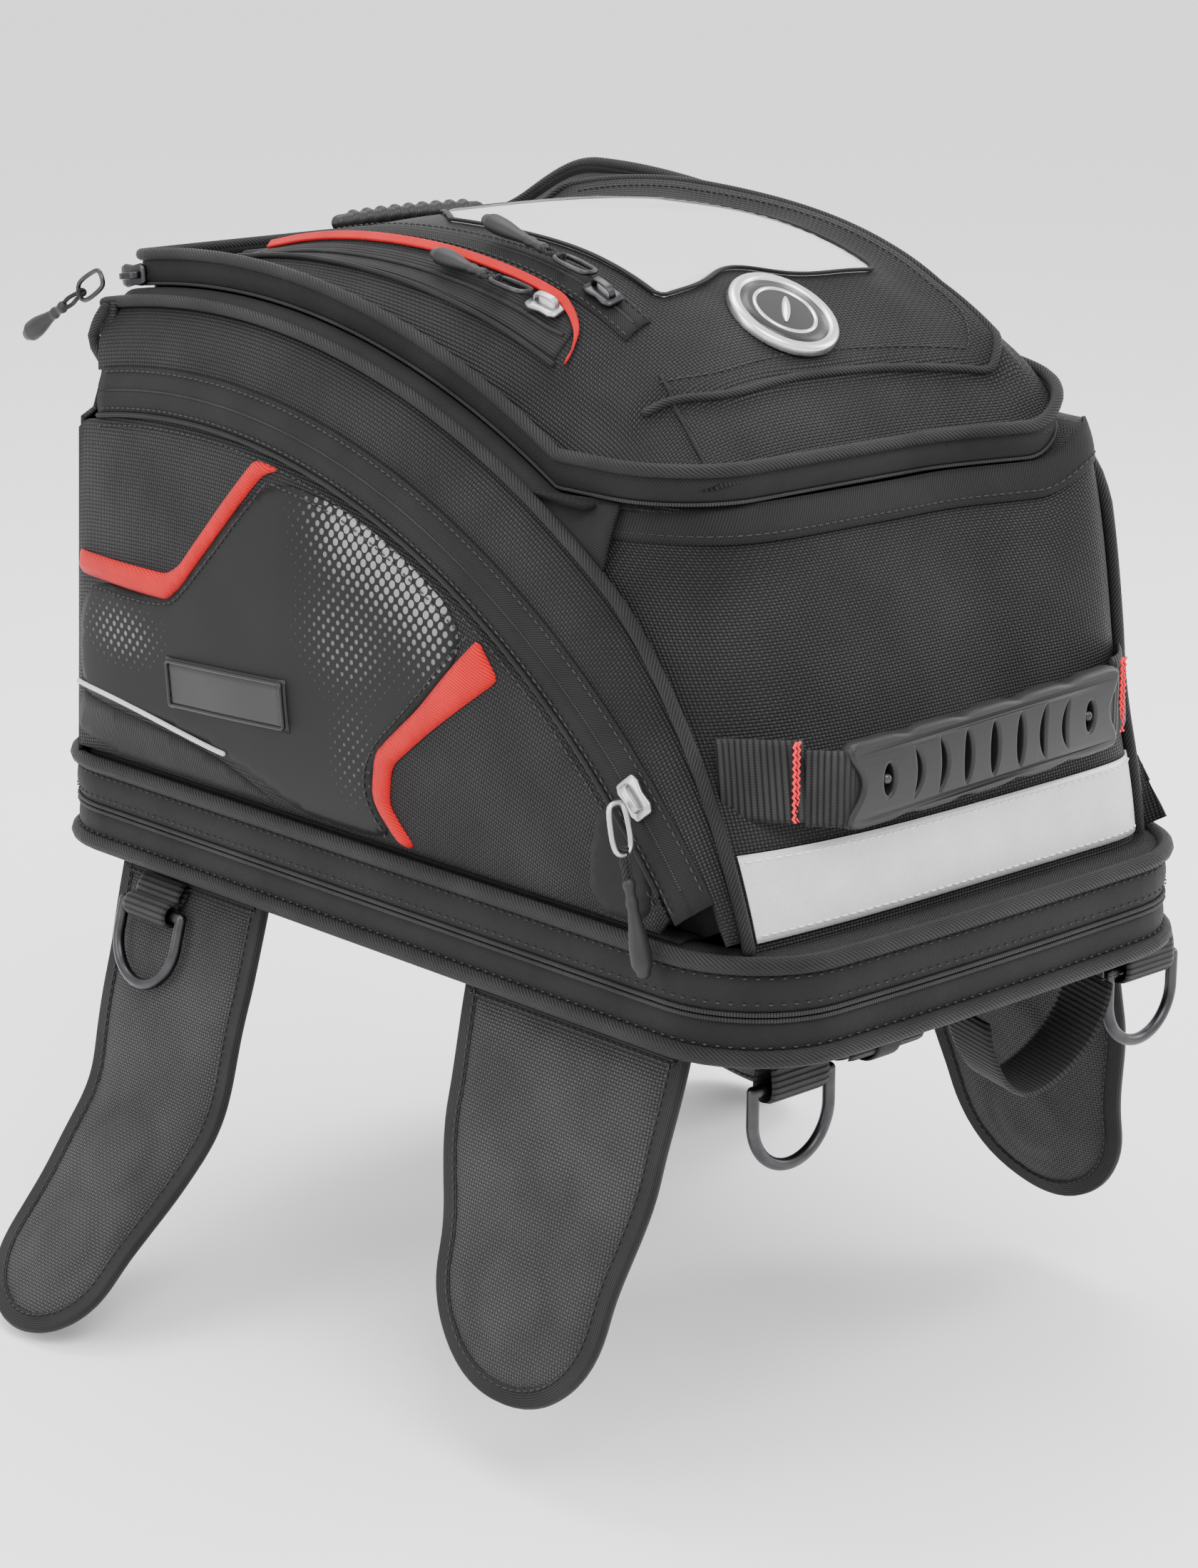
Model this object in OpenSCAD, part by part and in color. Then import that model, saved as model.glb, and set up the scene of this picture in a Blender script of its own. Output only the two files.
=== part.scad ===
// Soft motorcycle tank bag with an expanding base, hinged lid, two side pockets,
// four magnet flaps, front grab handle and strap rings.
// Origin: centre of the base underside. +Z up, -Y the handle end, millimetres.

/* [Base] */
// Width of the base across the tank
base_w = 210; // [190:1:230]
// Length of the base along the tank
base_l = 360; // [330:1:390]
// Corner radius of the base outline
base_r = 34; // [20:1:45]
// Height of the zipped expander band when closed
band_h = 30; // [24:1:36]

/* [Body] */
// Width of the main compartment between its side walls
body_w = 182; // [160:1:186]
// Radius of the side pocket seam
seam_r = 296; // [280:1:310]
// Distance of the seam arc's centre behind the middle
arch_y = 91; // [80:1:100]
// Height of the seam arc's centre, below the base
arch_z = -136; // [-150:1:-120]
// How far the front face leans back from base to lid
front_lean = 42; // [30:1:55]
// Thickness of the padded fabric walls
wall = 3; // [2:0.5:4]

/* [Lid] */
// Half width of the lid
lid_hw = 85; // [75:1:88]
// Height of the zip line at the front
lid_front_z = 158; // [150:1:165]
// Highest point of the lid
lid_top_z = 226; // [215:1:235]
// Diameter of the round badge
badge_d = 38; // [25:1:45]

/* [Handle] */
// Length of the rubber grip
grip_l = 122; // [100:1:130]
// Height of the rubber grip
grip_h = 26; // [20:1:30]

/* [Flaps] */
// Width of a front magnet flap at its root
front_flap_w = 100; // [80:1:110]
// Length of a front magnet flap
front_flap_l = 122; // [100:1:140]
// Width of a rear magnet flap at its root
rear_flap_w = 80; // [70:1:95]
// Length of a rear magnet flap
rear_flap_l = 168; // [140:1:180]
// Thickness of a magnet flap
flap_t = 6; // [5:0.5:8]

/* [Rings] */
// Width inside a D-ring
ring_w = 29; // [26:1:32]
// Wire thickness of a D-ring
ring_wire = 4; // [3:0.5:5]

/* [Hidden] */
$fn = 48;

// Heights of the base layers
pad_t = 1.5;
panel_t = 3;
board_t = 2.5;
band_split = 15;
band_gap = 0.5;
welt_r = 2.4;

// Side arcs
panel_x = base_w / 2;
gusset_w = 37;
zip_r = seam_r + 10;
lid_line_r = 338;
pocket_back_y = 149;
pocket_foot_y = 158;
pocket_front_y = -136;
pocket_floor_z = band_h + 7;
arch_back_deg = 81;
arch_front_deg = 145;
m_front_drop = 24;
back_foot_y = 170;

// Lid
lid_front_y = -130;
lid_back_y = 146;
lid_corner_r = 30;
lid_wall = 3;
lid_hinge_gap = 0.6;
lid_back_drop = 34;
window_x = [-38, 54];
window_y = [-70, 60];
badge_y = -87;
rear_handle_y = 96;
lid_rows = 16;
lid_cols = 12;

// Front face
face_bottom_y = -170;
face_rise = lid_front_z - band_h;

// Handle
handle_z = 82;
handle_axis_y = -166.5;
grip_y = -176;
grip_t = 6;

// Flaps and rings
flap_axis_x = 99;
flap_axis_z = -3.5;
front_flap_y = -98;
rear_flap_y = 98;
front_splay = 15;
rear_splay = 15;
rear_bend = 28;
rear_bend_at = 80;
magnet_r = 14;
magnet_t = 3;
ring_axis_z = -13;
front_ring_y = -163;
front_ring_x = [-69, 97];
loop_x = 42;
loop_r = 30;
rear_ring_off = 7;
rear_ring_drop = -12;
rear_ring_y = 110;

black = [0.07, 0.07, 0.075];
dark = [0.12, 0.12, 0.13];
red = [0.85, 0.11, 0.15];
steel = [0.35, 0.35, 0.37];

// ---------- helpers ----------

// Point on a circle about the arch axis, at an angle from +Y
function on_arch(x, r, deg) = [x, arch_y + r * cos(deg), arch_z + r * sin(deg)];

// The same in the Y-Z plane
function arch_yz(r, deg) = [arch_y + r * cos(deg), arch_z + r * sin(deg)];

function arch_arc(r, from, to, n) = [for (i = [0:n]) arch_yz(r, from + (to - from) * i / n)];

// Angle at which a circle about the arch axis passes a given Y
function arch_deg(r, y) = acos((y - arch_y) / r);

// Front face position at a height
function face_y(z) = face_bottom_y + front_lean * pow(max(0, z - band_h) / face_rise, 1.4);

// Radius of the welt between side gusset and centre, smaller towards the front foot
function m_radius(deg) = seam_r + gusset_w - m_front_drop * pow(max(0, deg - 110) / 37, 1.6);

// Height of the lid zip line, of the lid's middle, and of any point of the lid
function edge_z(y) = max(lid_front_z, arch_z + sqrt(lid_line_r * lid_line_r - pow(y - arch_y, 2)));
function mid_z(y) = y < 25
    ? lid_top_z - (lid_top_z - lid_front_z - 2) * pow((25 - y) / 155, 3)
    : lid_top_z - lid_back_drop * pow((y - 25) / 123, 2);
function lid_z(x, y) = edge_z(y)
    + max(0, mid_z(y) - edge_z(y)) * (1 - pow(abs(x) / lid_hw, 4));
function lid_half(y) = lid_hw
    - corner_in(y - lid_front_y, lid_corner_r) - corner_in(lid_back_y - y, lid_corner_r / 2);
function corner_in(d, r) = d >= r ? 0 : r - sqrt(max(0, r * r - (r - d) * (r - d)));

// A solid through a list of rings with equal point counts. Rings made of an outer row and the
// matching inner row, such as shells and patches, take strip = true, which caps them in quads
module loft(rings, closed = false, strip = false) {
    n = len(rings);
    m = len(rings[0]);
    last = closed ? n : n - 1;
    base = (n - 1) * m;
    sides = [for (i = [0:last - 1], j = [0:m - 1], k = [0:1])
        let (a = i * m + j, b = i * m + (j + 1) % m,
             c = ((i + 1) % n) * m + (j + 1) % m, d = ((i + 1) % n) * m + j)
        k == 0 ? [a, b, c] : [a, c, d]];
    whole = [[for (j = [m - 1:-1:0]) j], [for (j = [0:m - 1]) base + j]];
    quads = [for (i = [0:m / 2 - 2], k = [0:3])
        let (a = i, b = i + 1, c = m - 2 - i, d = m - 1 - i)
        k == 0 ? [a, d, b] : k == 1 ? [b, d, c]
            : k == 2 ? [base + a, base + b, base + d] : [base + b, base + c, base + d]];
    caps = closed ? [] : strip ? quads : whole;
    polyhedron(points = [for (q = rings) each q], faces = concat(sides, caps));
}

function unit(v) = v / norm(v);

// A round tube along points; ref is a direction never parallel to the path
module tube(path, r, ref, closed = false, n = 8) {
    c = len(path);
    rings = [for (i = [0:c - 1])
        let (a = path[closed ? (i + c - 1) % c : max(0, i - 1)],
             b = path[closed ? (i + 1) % c : min(c - 1, i + 1)],
             t = unit(b - a), s = unit(cross(ref, t)), u = cross(t, s))
        [for (k = [0:n - 1]) path[i] + r * (cos(-360 * k / n) * s + sin(-360 * k / n) * u)]];
    loft(rings, closed);
}

// Extrude a Y-Z outline along X
module yz(x0, t) {
    translate([x0, 0, 0]) rotate([90, 0, 90]) linear_extrude(t) children();
}

module round_rect(w, l, r) {
    square([w - 2 * r, l], center = true);
    square([w, l - 2 * r], center = true);
    for (sx = [-1, 1], sy = [-1, 1]) translate([sx * (w / 2 - r), sy * (l / 2 - r)]) circle(r);
}

function rect_path(w, l, r, z, n = 6) = [
    for (q = [0:3], i = [0:n])
        let (a = 90 * q + 90 * i / n, sx = (q == 0 || q == 3) ? 1 : -1, sy = q < 2 ? 1 : -1)
        [sx * (w / 2 - r) + r * cos(a), sy * (l / 2 - r) + r * sin(a), z]];

module band_ring(z0, z1) {
    translate([0, 0, z0]) linear_extrude(z1 - z0) difference() {
        round_rect(base_w, base_l, base_r);
        round_rect(base_w - 2 * wall, base_l - 2 * wall, base_r - wall);
    }
}

// A slab lying on the front face, from height z0 to z1, standing t0 to t1 proud
module face_slab(x0, w, z0, z1, t0, t1) {
    n = 6;
    yz(x0, w) polygon(concat(
        [for (i = [0:n]) let (z = z0 + (z1 - z0) * i / n) [face_y(z) - t0, z]],
        [for (i = [n:-1:0]) let (z = z0 + (z1 - z0) * i / n) [face_y(z) - t1, z]]));
}

// A patch lying on the lid, from x0 to x1 and y0 to y1, standing h0 to h1 proud
module lid_patch(x0, x1, y0, y1, h0, h1, nx = 8, ny = 14) {
    loft([for (j = [0:ny]) let (y = y0 + (y1 - y0) * j / ny) concat(
        [for (i = [0:nx]) let (x = x0 + (x1 - x0) * i / nx) [x, y, lid_z(x, y) + h0]],
        [for (i = [nx:-1:0]) let (x = x0 + (x1 - x0) * i / nx) [x, y, lid_z(x, y) + h1]])], strip = true);
}

// Stand a part on the lid's middle line at a height above it, tilted with its slope in Y
module on_lid(x, y, h) {
    translate([x, y, lid_z(x, y) + h]) rotate([atan((lid_z(x, y + 1) - lid_z(x, y - 1)) / 2), 0, 0]) children();
}

// Mirror to the right side
module side(s) {
    if (s < 0) children();
    else mirror([1, 0, 0]) children();
}

// ---------- base ----------

module antislip_pad() {
    color(dark) linear_extrude(pad_t) round_rect(base_w - 26, base_l - 72, base_r - 8);
}

module base_panel() {
    color(black) translate([0, 0, pad_t]) linear_extrude(panel_t - pad_t)
        round_rect(base_w, base_l, base_r);
}

module stiffener_board() {
    color(dark) translate([0, 0, panel_t]) linear_extrude(board_t)
        round_rect(base_w - 24, base_l - 24, base_r - 12);
}

module lower_band() {
    color(dark) band_ring(panel_t, band_split);
}

module lower_welt() {
    color(black) difference() {
        tube(rect_path(base_w + 2, base_l + 2, base_r + 1, welt_r + 0.2), welt_r, [0, 0, 1], true);
        translate([0, 0, pad_t]) linear_extrude(band_split) round_rect(base_w, base_l, base_r);
    }
}

// Fabric bellows folded behind the closed band
module expander_gusset() {
    color(dark) translate([0, 0, panel_t + board_t]) linear_extrude(band_h - panel_t - board_t - 3)
        difference() {
            round_rect(base_w - 2 * wall - 2, base_l - 2 * wall - 2, base_r - wall - 1);
            round_rect(base_w - 4 * wall - 2, base_l - 4 * wall - 2, base_r - 2 * wall - 1);
        }
}

module ring_tab(len_in) {
    translate([-12.5, 0, -1.8]) cube([25, len_in, 1.7]);
    translate([-12.5, 0, ring_axis_z + 3]) cube([25, 1.6, -ring_axis_z - 4.8]);
    difference() {
        translate([-12.5, 0.8, ring_axis_z]) rotate([0, 90, 0]) cylinder(r = 4, h = 25);
        translate([-13, 0.8, ring_axis_z]) rotate([0, 90, 0]) cylinder(r = 2.4, h = 26);
    }
}

module front_ring_tabs() {
    color(black) for (x = front_ring_x) translate([x, front_ring_y, 0]) ring_tab(13);
}

// Webbing that passes under the front edge, its rolled end and its hanging loop
module under_strap() {
    color(black) {
        translate([-46, -158, -8]) rotate([0, 90, 0]) cylinder(r = 7, h = 34);
        translate([-12, -165, -10]) cube([loop_x + loop_r + 12, 14, 3]);
        loft([for (i = [0:10]) let (a = 180 * i / 10, x = loop_x + loop_r * cos(a), z = -10.6 - 29 * sin(a))
            [[x, -172, z], [x, -150, z], [x, -150, z + 2.2], [x, -172, z + 2.2]]]);
    }
}

module slot_buckles() {
    color([0.03, 0.03, 0.03]) for (x = [8, 52]) translate([x - 16, -172, -6.4]) difference() {
        cube([32, 20, 3.4]);
        translate([3.5, 4, -1]) cube([25, 3.4, 6]);
        translate([3.5, 12, -1]) cube([25, 3.4, 6]);
    }
}

// ---------- upper body ----------

module upper_band() {
    color(dark) band_ring(band_split + band_gap, band_h - 1);
}

module upper_welt() {
    color(black) difference() {
        tube(rect_path(base_w, base_l, base_r, band_h + 1.4), welt_r, [0, 0, 1], true);
        translate([0, 0, band_h - 10]) linear_extrude(9) round_rect(base_w + 8, base_l + 8, base_r);
    }
}

function body_profile(inset) = concat(
    [for (i = [0:8]) let (z = band_h + face_rise * i / 8) [face_y(z) + inset, z]],
    arch_arc(lid_line_r - 4, arch_deg(lid_line_r, -70), arch_deg(lid_line_r, 138), 12),
    [[146 - inset, 194], [155 - inset, 150], [163 - inset, 85], [back_foot_y - inset, band_h]]);

module body_shell() {
    color(black) difference() {
        yz(-body_w / 2, body_w) polygon(body_profile(0));
        yz(-body_w / 2 + wall, body_w - 2 * wall) polygon(concat(
            [for (i = [-1:8]) let (z = band_h + face_rise * i / 8) [face_y(z) + wall, z]],
            [[face_y(lid_front_z) + wall, 240], [138, 240], [146 - wall, 194], [155 - wall, 150],
             [163 - wall, 85], [back_foot_y - wall, band_h], [back_foot_y - wall, 0]]));
    }
}

// Piping along the gusset seams and the back corners
module body_welts() {
    color(black) for (s = [-1, 1]) side(s) {
        tube([for (i = [0:22]) let (d = arch_back_deg + 1 + (arch_front_deg - arch_back_deg) * i / 22)
            on_arch(-body_w / 2 - welt_r, m_radius(d) + 1, d)], 2, [1, 0, 0]);
        tube([[-99, 164.4, 36.5], [-99, 160.2, 85], [-99, 156.4, 130], [-98, 154, 172]], 2.2, [1, 0, 0]);
    }
}

module reflective_strip() {
    color([0.75, 0.75, 0.76]) face_slab(-body_w / 2 + 1, body_w - 2, 36, 61, 0, 1.2);
}

module handle_anchors() {
    color(black) for (s = [-1, 1]) side(s) face_slab(-body_w / 2 + 1, 19, 69.5, 94.5, 0, 1.6);
}

// Lower tape of the lid zip, round the mouth of the body
module lid_zip() {
    color(dark) {
        for (s = [-1, 1]) side(s) yz(-body_w / 2 + 1, 3) polygon(concat(
            arch_arc(lid_line_r - 0.3, arch_deg(lid_line_r, -66), arch_deg(lid_line_r, 136), 14),
            arch_arc(lid_line_r - 3.9, arch_deg(lid_line_r, 136), arch_deg(lid_line_r, -66), 14)));
        face_slab(-body_w / 2 + 1, body_w - 2, lid_front_z - 14, lid_front_z - 3, 0, 1.4);
    }
}

// ---------- side pockets ----------

module pocket_gusset() {
    color(black) {
        n = 22;
        loft([for (i = [0:n])
            let (d = arch_back_deg + (arch_front_deg - arch_back_deg) * i / n,
                 ra = seam_r + 1, rb = m_radius(d) - 1.4)
            [on_arch(-panel_x + 2, ra, d), on_arch(-body_w / 2 - 0.1, rb, d),
             on_arch(-body_w / 2 - 0.1, rb - 5, d), on_arch(-panel_x + 3.7, ra - 0.6, d)]]);
        yz(-panel_x + 2, panel_x - body_w / 2 - 2) polygon([[pocket_back_y + 0.6, 152],
            [pocket_back_y + 2.6, 152], [pocket_foot_y + 3.4, 36], [pocket_foot_y + 1.4, 36]]);
        translate([-panel_x + 2, -148, band_h + 4.2])
            cube([panel_x - body_w / 2 - 2, 148 + pocket_foot_y, 2]);
    }
}

module left_pocket_gusset() { pocket_gusset(); }
module right_pocket_gusset() { side(1) pocket_gusset(); }

// Sloping zip tape above the pocket seam
module pocket_zip() {
    n = 20;
    color(dark) loft([for (i = [0:n])
        let (d = arch_back_deg + 1 + (arch_front_deg - arch_back_deg - 2) * i / n)
        [on_arch(-panel_x + 0.4, seam_r + 2, d), on_arch(-panel_x + 5.2, seam_r + 17, d),
         on_arch(-panel_x + 6.6, seam_r + 16, d), on_arch(-panel_x + 1.8, seam_r + 1.2, d)]]);
}

module left_pocket_zip() { pocket_zip(); }
module right_pocket_zip() { side(1) pocket_zip(); }

function pocket_outline(inset) = concat(
    [[pocket_foot_y - inset, pocket_floor_z + inset], [pocket_back_y - inset, 152 - inset]],
    arch_arc(seam_r - inset, arch_deg(seam_r, pocket_back_y - 3),
        arch_deg(seam_r, pocket_front_y + inset), 24),
    [[pocket_front_y + inset, pocket_floor_z + inset]]);

module pocket_panel() {
    color(black) yz(-panel_x + 0.5, 2.5) polygon(pocket_outline(0.6));
}

module left_pocket_panel() { pocket_panel(); }
module right_pocket_panel() { side(1) pocket_panel(); }

// Outlines of the printed rubber sheet and of the ribbon along its two curved edges
module rubber_shape() {
    polygon([[151, 100], [96, 99], [86, 106], [42, 150], [8, 145], [-24, 133], [-62, 112],
        [-34, 84], [-14, 66], [-12, 52], [-22, 38], [26, 38], [40, 42], [58, 48], [82, 54],
        [140, 57], [154, 59]]);
}

module trim_shape() {
    polygon([[150, 108.4], [94, 108.4], [88, 112], [48, 154.5], [34, 152], [43, 150.6],
        [86.5, 106.6], [96, 99.6], [151, 100.6]]);
    polygon([[-64, 111.4], [-36, 86], [-14.5, 68], [-12.5, 52], [-24, 38], [-32, 38], [-20, 52],
        [-22, 66], [-40, 80], [-75, 102]]);
}

// Printed rubber sheet
module rubber_panel() {
    color(dark) yz(-panel_x - 0.9, 1.4) difference() {
        rubber_shape();
        trim_shape();
    }
}

module left_rubber_panel() { rubber_panel(); }
module right_rubber_panel() { side(1) rubber_panel(); }

module red_trim() {
    color(red) yz(-panel_x - 1, 1.5) trim_shape();
}

module left_red_trim() { red_trim(); }
module right_red_trim() { side(1) red_trim(); }

// Blank moulded patch with a raised rim
module name_patch() {
    color(dark) translate([-panel_x - 0.9, 62, 73]) rotate([90, 0, -90]) difference() {
        linear_extrude(2.4) round_rect(66, 18, 2.5);
        translate([0, 0, 1.6]) linear_extrude(2) round_rect(61, 13, 1.5);
    }
}

module left_name_patch() { name_patch(); }
module right_name_patch() { side(1) name_patch(); }

// ---------- lid ----------

module lid_shell() {
    color(black) loft([for (j = [0:lid_rows])
        let (y = lid_front_y + 0.5 + (lid_back_y - lid_front_y - 1) * j / lid_rows, h = lid_half(y),
             g = edge_z(y) + lid_hinge_gap)
        concat(
            [for (i = [0:lid_cols]) let (x = (-h + 2 * h * i / lid_cols) * 0.96)
                [x, y, max(g, lid_z(x * lid_hw / h, y) - lid_wall)]],
            [for (i = [lid_cols:-1:0]) let (x = -h + 2 * h * i / lid_cols)
                [x, y, max(g + 2, lid_hinge_gap + lid_z(x * lid_hw / h, y))]])], strip = true);
}

module lid_welts() {
    n = 40;
    color(black) {
        tube([for (i = [0:n]) let (y = lid_front_y + 6 + (lid_back_y - lid_front_y - 16) * i / n)
            [-lid_half(y) - 0.6, y, edge_z(y) + 11.2]], 2, [0, 0, 1]);
        tube([for (i = [0:n]) let (y = lid_front_y + 6 + (lid_back_y - lid_front_y - 16) * i / n)
            [lid_half(y) + 0.6, y, edge_z(y) + 11.2]], 2, [0, 0, 1]);
        tube([for (i = [0:12]) let (x = -lid_half(lid_front_y + 6) * (1 - i / 6))
            [x, lid_front_y - 1 + 7 * pow(abs(x) / lid_half(lid_front_y + 6), 4), lid_front_z + 11.2]],
            2, [0, 0, 1]);
    }
}

module window_film() {
    color([0.72, 0.73, 0.75, 0.4]) lid_patch(window_x[0], window_x[1], window_y[0], window_y[1], 2.2, 2.7);
}

module window_backing() {
    color([0.7, 0.7, 0.71]) lid_patch(window_x[0], window_x[1], window_y[0], window_y[1], 1.1, 2.1);
}

module map_zip() {
    color(dark) lid_patch(-57, -47, -74, 74, 1.1, 2.1, 3, 20);
}

module media_pocket_lip() {
    color(red) lid_patch(-69, -66, -56, 96, 1.1, 2.3, 1, 20);
}

module badge() {
    color([0.8, 0.8, 0.8]) on_lid(0, badge_y, 2.6) cylinder(r = badge_d / 2, h = 3, center = true);
}

// Ribbed carry handle at the back of the lid
module rear_handle() {
    color(dark) {
        translate([-30, rear_handle_y, lid_z(0, rear_handle_y) + 5.2]) rotate([0, 90, 0])
            cylinder(r = 3, h = 60);
        for (i = [0:8]) translate([-26 + 6.5 * i, rear_handle_y, lid_z(0, rear_handle_y) + 5.2])
            rotate([0, 90, 0]) cylinder(r = 3.8, h = 3);
        for (s = [-1, 1]) translate([s * 30 - 3, rear_handle_y - 2, lid_z(0, rear_handle_y) + 2.2])
            cube([6, 4, 3.6]);
    }
}

// ---------- front handle ----------

module front_handle_webbing() {
    path = [[-70, handle_axis_y - 0.5], [-67, -170], [-64.4, -174], [-62.2, grip_y], [-57.4, grip_y]];
    color(black) for (s = [-1, 1]) side(s) loft([for (p = path)
        [[p[0], p[1] - 0.8, handle_z - 12], [p[0], p[1] - 0.8, handle_z + 12],
         [p[0], p[1] + 0.8, handle_z + 12], [p[0], p[1] + 0.8, handle_z - 12]]]);
}

module front_handle_grip() {
    color([0.05, 0.05, 0.05]) translate([0, grip_y + grip_t / 2, handle_z]) rotate([90, 0, 0])
        difference() {
            linear_extrude(grip_t) difference() {
                round_rect(grip_l, grip_h, 4);
                for (i = [-4:4]) translate([i * 12.4, 0]) {
                    square([5.6, 9], center = true);
                    for (s = [-1, 1]) translate([0, s * 4.5]) circle(2.8);
                }
            }
            for (s = [-1, 1]) translate([s * (grip_l / 2 - 1.9), 0, grip_t / 2])
                cube([5, 24.8, 2.2], center = true);
        }
}

// ---------- zip sliders and pulls ----------

// Slider lying in the X-Y plane, travelling along X
module slider() {
    color(steel) {
        translate([-6.5, -4, 0]) cube([13, 8, 2]);
        translate([-4.5, -1.2, 1.9]) cube([9, 2.4, 3.2]);
    }
}

// Wire link, cord and moulded end, hanging along -X from the origin
module pull(cord_l, end_l) {
    color(dark) {
        difference() {
            translate([-16, -4.4, -0.8]) cube([17, 8.8, 1.6]);
            translate([-13.8, -2.6, -2]) cube([12.6, 5.2, 4]);
        }
        translate([-15 - cord_l, 0, 0]) rotate([0, 90, 0]) cylinder(r = 1.3, h = cord_l + 1);
        translate([-15 - cord_l - end_l, 0, 0]) rotate([0, 90, 0])
            cylinder(r1 = 3.4, r2 = 2.6, h = end_l, $fn = 24);
    }
}

slider_deg = 136.3;
lid_slider_deg = 82;
side_lean = 18;
pull_tilt = 14;

module pocket_slider() {
    translate(on_arch(-panel_x + 2.2, zip_r, slider_deg)) rotate([slider_deg - 90, 0, 0])
        rotate([0, -90 + side_lean, 0]) rotate([0, 0, 90]) translate([0, 0, 1.0]) slider();
}

module left_pocket_slider() { pocket_slider(); }
module right_pocket_slider() { side(1) pocket_slider(); }

module pocket_pull() {
    translate([-panel_x - 8.6, -132, 76]) rotate([90 - pull_tilt, 0, 0]) rotate([0, -90, 0])
        rotate([0, 0, 90]) rotate([90, 0, 0]) pull(9, 26);
}

module left_pocket_pull() { pocket_pull(); }
module right_pocket_pull() { side(1) pocket_pull(); }

module lid_slider() {
    translate(on_arch(-lid_hw - 1, lid_line_r + 4.2, lid_slider_deg))
        rotate([lid_slider_deg - 90, 0, 0]) rotate([0, -90, 0]) rotate([0, 0, 90]) slider();
}

module lid_pull() {
    translate([-body_w / 2 - 8.2, 141, 203]) rotate([-28, 0, 0]) rotate([0, 0, -90])
        rotate([90, 0, 0]) pull(12, 24);
}

module map_slider() {
    on_lid(-52, -60, 4.2) rotate([0, -20, 0]) rotate([0, 0, 90]) slider();
}

module map_pull() {
    translate([-52, -54, lid_z(-52, -54) + 8.6]) rotate([14, 0, 0]) rotate([0, 0, -90]) pull(8, 26);
}

module media_slider() {
    translate([-63, -46, lid_z(-63, -46) + 2.4]) rotate([0, -18, 0]) rotate([14, 0, 0])
        rotate([0, 0, 90]) slider();
}

module media_pull() {
    translate([-66, -40, lid_z(-66, -40) + 8.6]) rotate([10, 0, 0]) rotate([0, 0, -90]) pull(6, 22);
}

// ---------- magnet flaps ----------

// Webbing loop sewn to the outside of a rear flap
module rear_ring_tab() {
    translate([-flap_t / 2 - 1.6, -12.5, rear_ring_drop]) cube([1.7, 25, -rear_ring_drop - 3]);
    difference() {
        translate([-rear_ring_off, 0, rear_ring_drop]) rotate([90, 0, 0])
            cylinder(r = 4.1, h = 25, center = true);
        translate([-rear_ring_off, 0, rear_ring_drop]) rotate([90, 0, 0])
            cylinder(r = 2.4, h = 26, center = true);
    }
}

// Tongue hanging along -Z from its root, as an outline in Y and Z
module tongue(w, l) {
    tip_r = w * 0.38;
    hull() {
        translate([-w / 2, -4]) square([w, 2]);
        translate([0, -l + tip_r]) circle(tip_r, $fn = 32);
        translate([-w / 2 + 4, -l * 0.45]) square([w - 8, 2]);
    }
}

module front_flap() {
    color(black) translate([-flap_axis_x, front_flap_y, flap_axis_z]) rotate([0, front_splay, 0])
        yz(-flap_t / 2, flap_t) tongue(front_flap_w, front_flap_l);
}

module rear_flap() {
    color(black) translate([-flap_axis_x, rear_flap_y, flap_axis_z]) rotate([0, rear_splay, 0]) {
        yz(-flap_t / 2, flap_t) intersection() {
            tongue(rear_flap_w, rear_flap_l);
            translate([-100, -rear_bend_at]) square([200, 100]);
        }
        translate([0, 0, -rear_bend_at]) rotate([0, rear_bend, 0])
            yz(-flap_t / 2, flap_t) translate([0, rear_bend_at]) intersection() {
                tongue(rear_flap_w, rear_flap_l);
                translate([-100, -200]) square([200, 200 - rear_bend_at + 1.5]);
            }
    }
}

// Two disc magnets sewn between the layers of a flap's tip
module flap_magnets(y, splay, bend, bend_at, l) {
    color(steel) translate([-flap_axis_x, y, flap_axis_z]) rotate([0, splay, 0])
        translate([0, 0, -bend_at]) rotate([0, bend, 0]) translate([0, 0, bend_at])
            for (d = [0, 1]) translate([-magnet_t / 2, 0, -l + 32 + d * 36]) rotate([0, 90, 0])
                cylinder(r = magnet_r, h = magnet_t);
}

module front_left_magnets() { flap_magnets(front_flap_y, front_splay, 0, 0, front_flap_l); }
module front_right_magnets() { side(1) front_left_magnets(); }
module rear_left_magnets() {
    flap_magnets(rear_flap_y, rear_splay, rear_bend, rear_bend_at, rear_flap_l);
}
module rear_right_magnets() { side(1) rear_left_magnets(); }

module front_left_flap() {
    difference() { front_flap(); front_left_magnets(); }
}
module front_right_flap() { side(1) front_left_flap(); }

module rear_left_flap() {
    difference() { rear_flap(); rear_left_magnets(); }
    color(black) translate([-flap_axis_x, rear_ring_y, flap_axis_z]) rotate([0, rear_splay, 0])
        rear_ring_tab();
}
module rear_right_flap() { side(1) rear_left_flap(); }

// ---------- rings ----------

// D-ring hanging in the X-Z plane from a straight bar along X
module d_ring() {
    color(steel) {
        r = ring_wire / 2;
        w = ring_w / 2 + r;
        translate([-w, 0, 0]) rotate([0, 90, 0]) cylinder(r = r, h = 2 * w);
        for (s = [-1, 1]) translate([s * w, 0, -10]) cylinder(r = r, h = 10);
        for (s = [-1, 1]) translate([s * w, 0, 0]) sphere(r);
        translate([0, 0, -10]) rotate([90, 0, 0]) intersection() {
            rotate_extrude() translate([w, 0]) circle(r, $fn = 24);
            translate([-50, -50, -10]) cube([100, 50, 20]);
        }
    }
}

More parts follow.
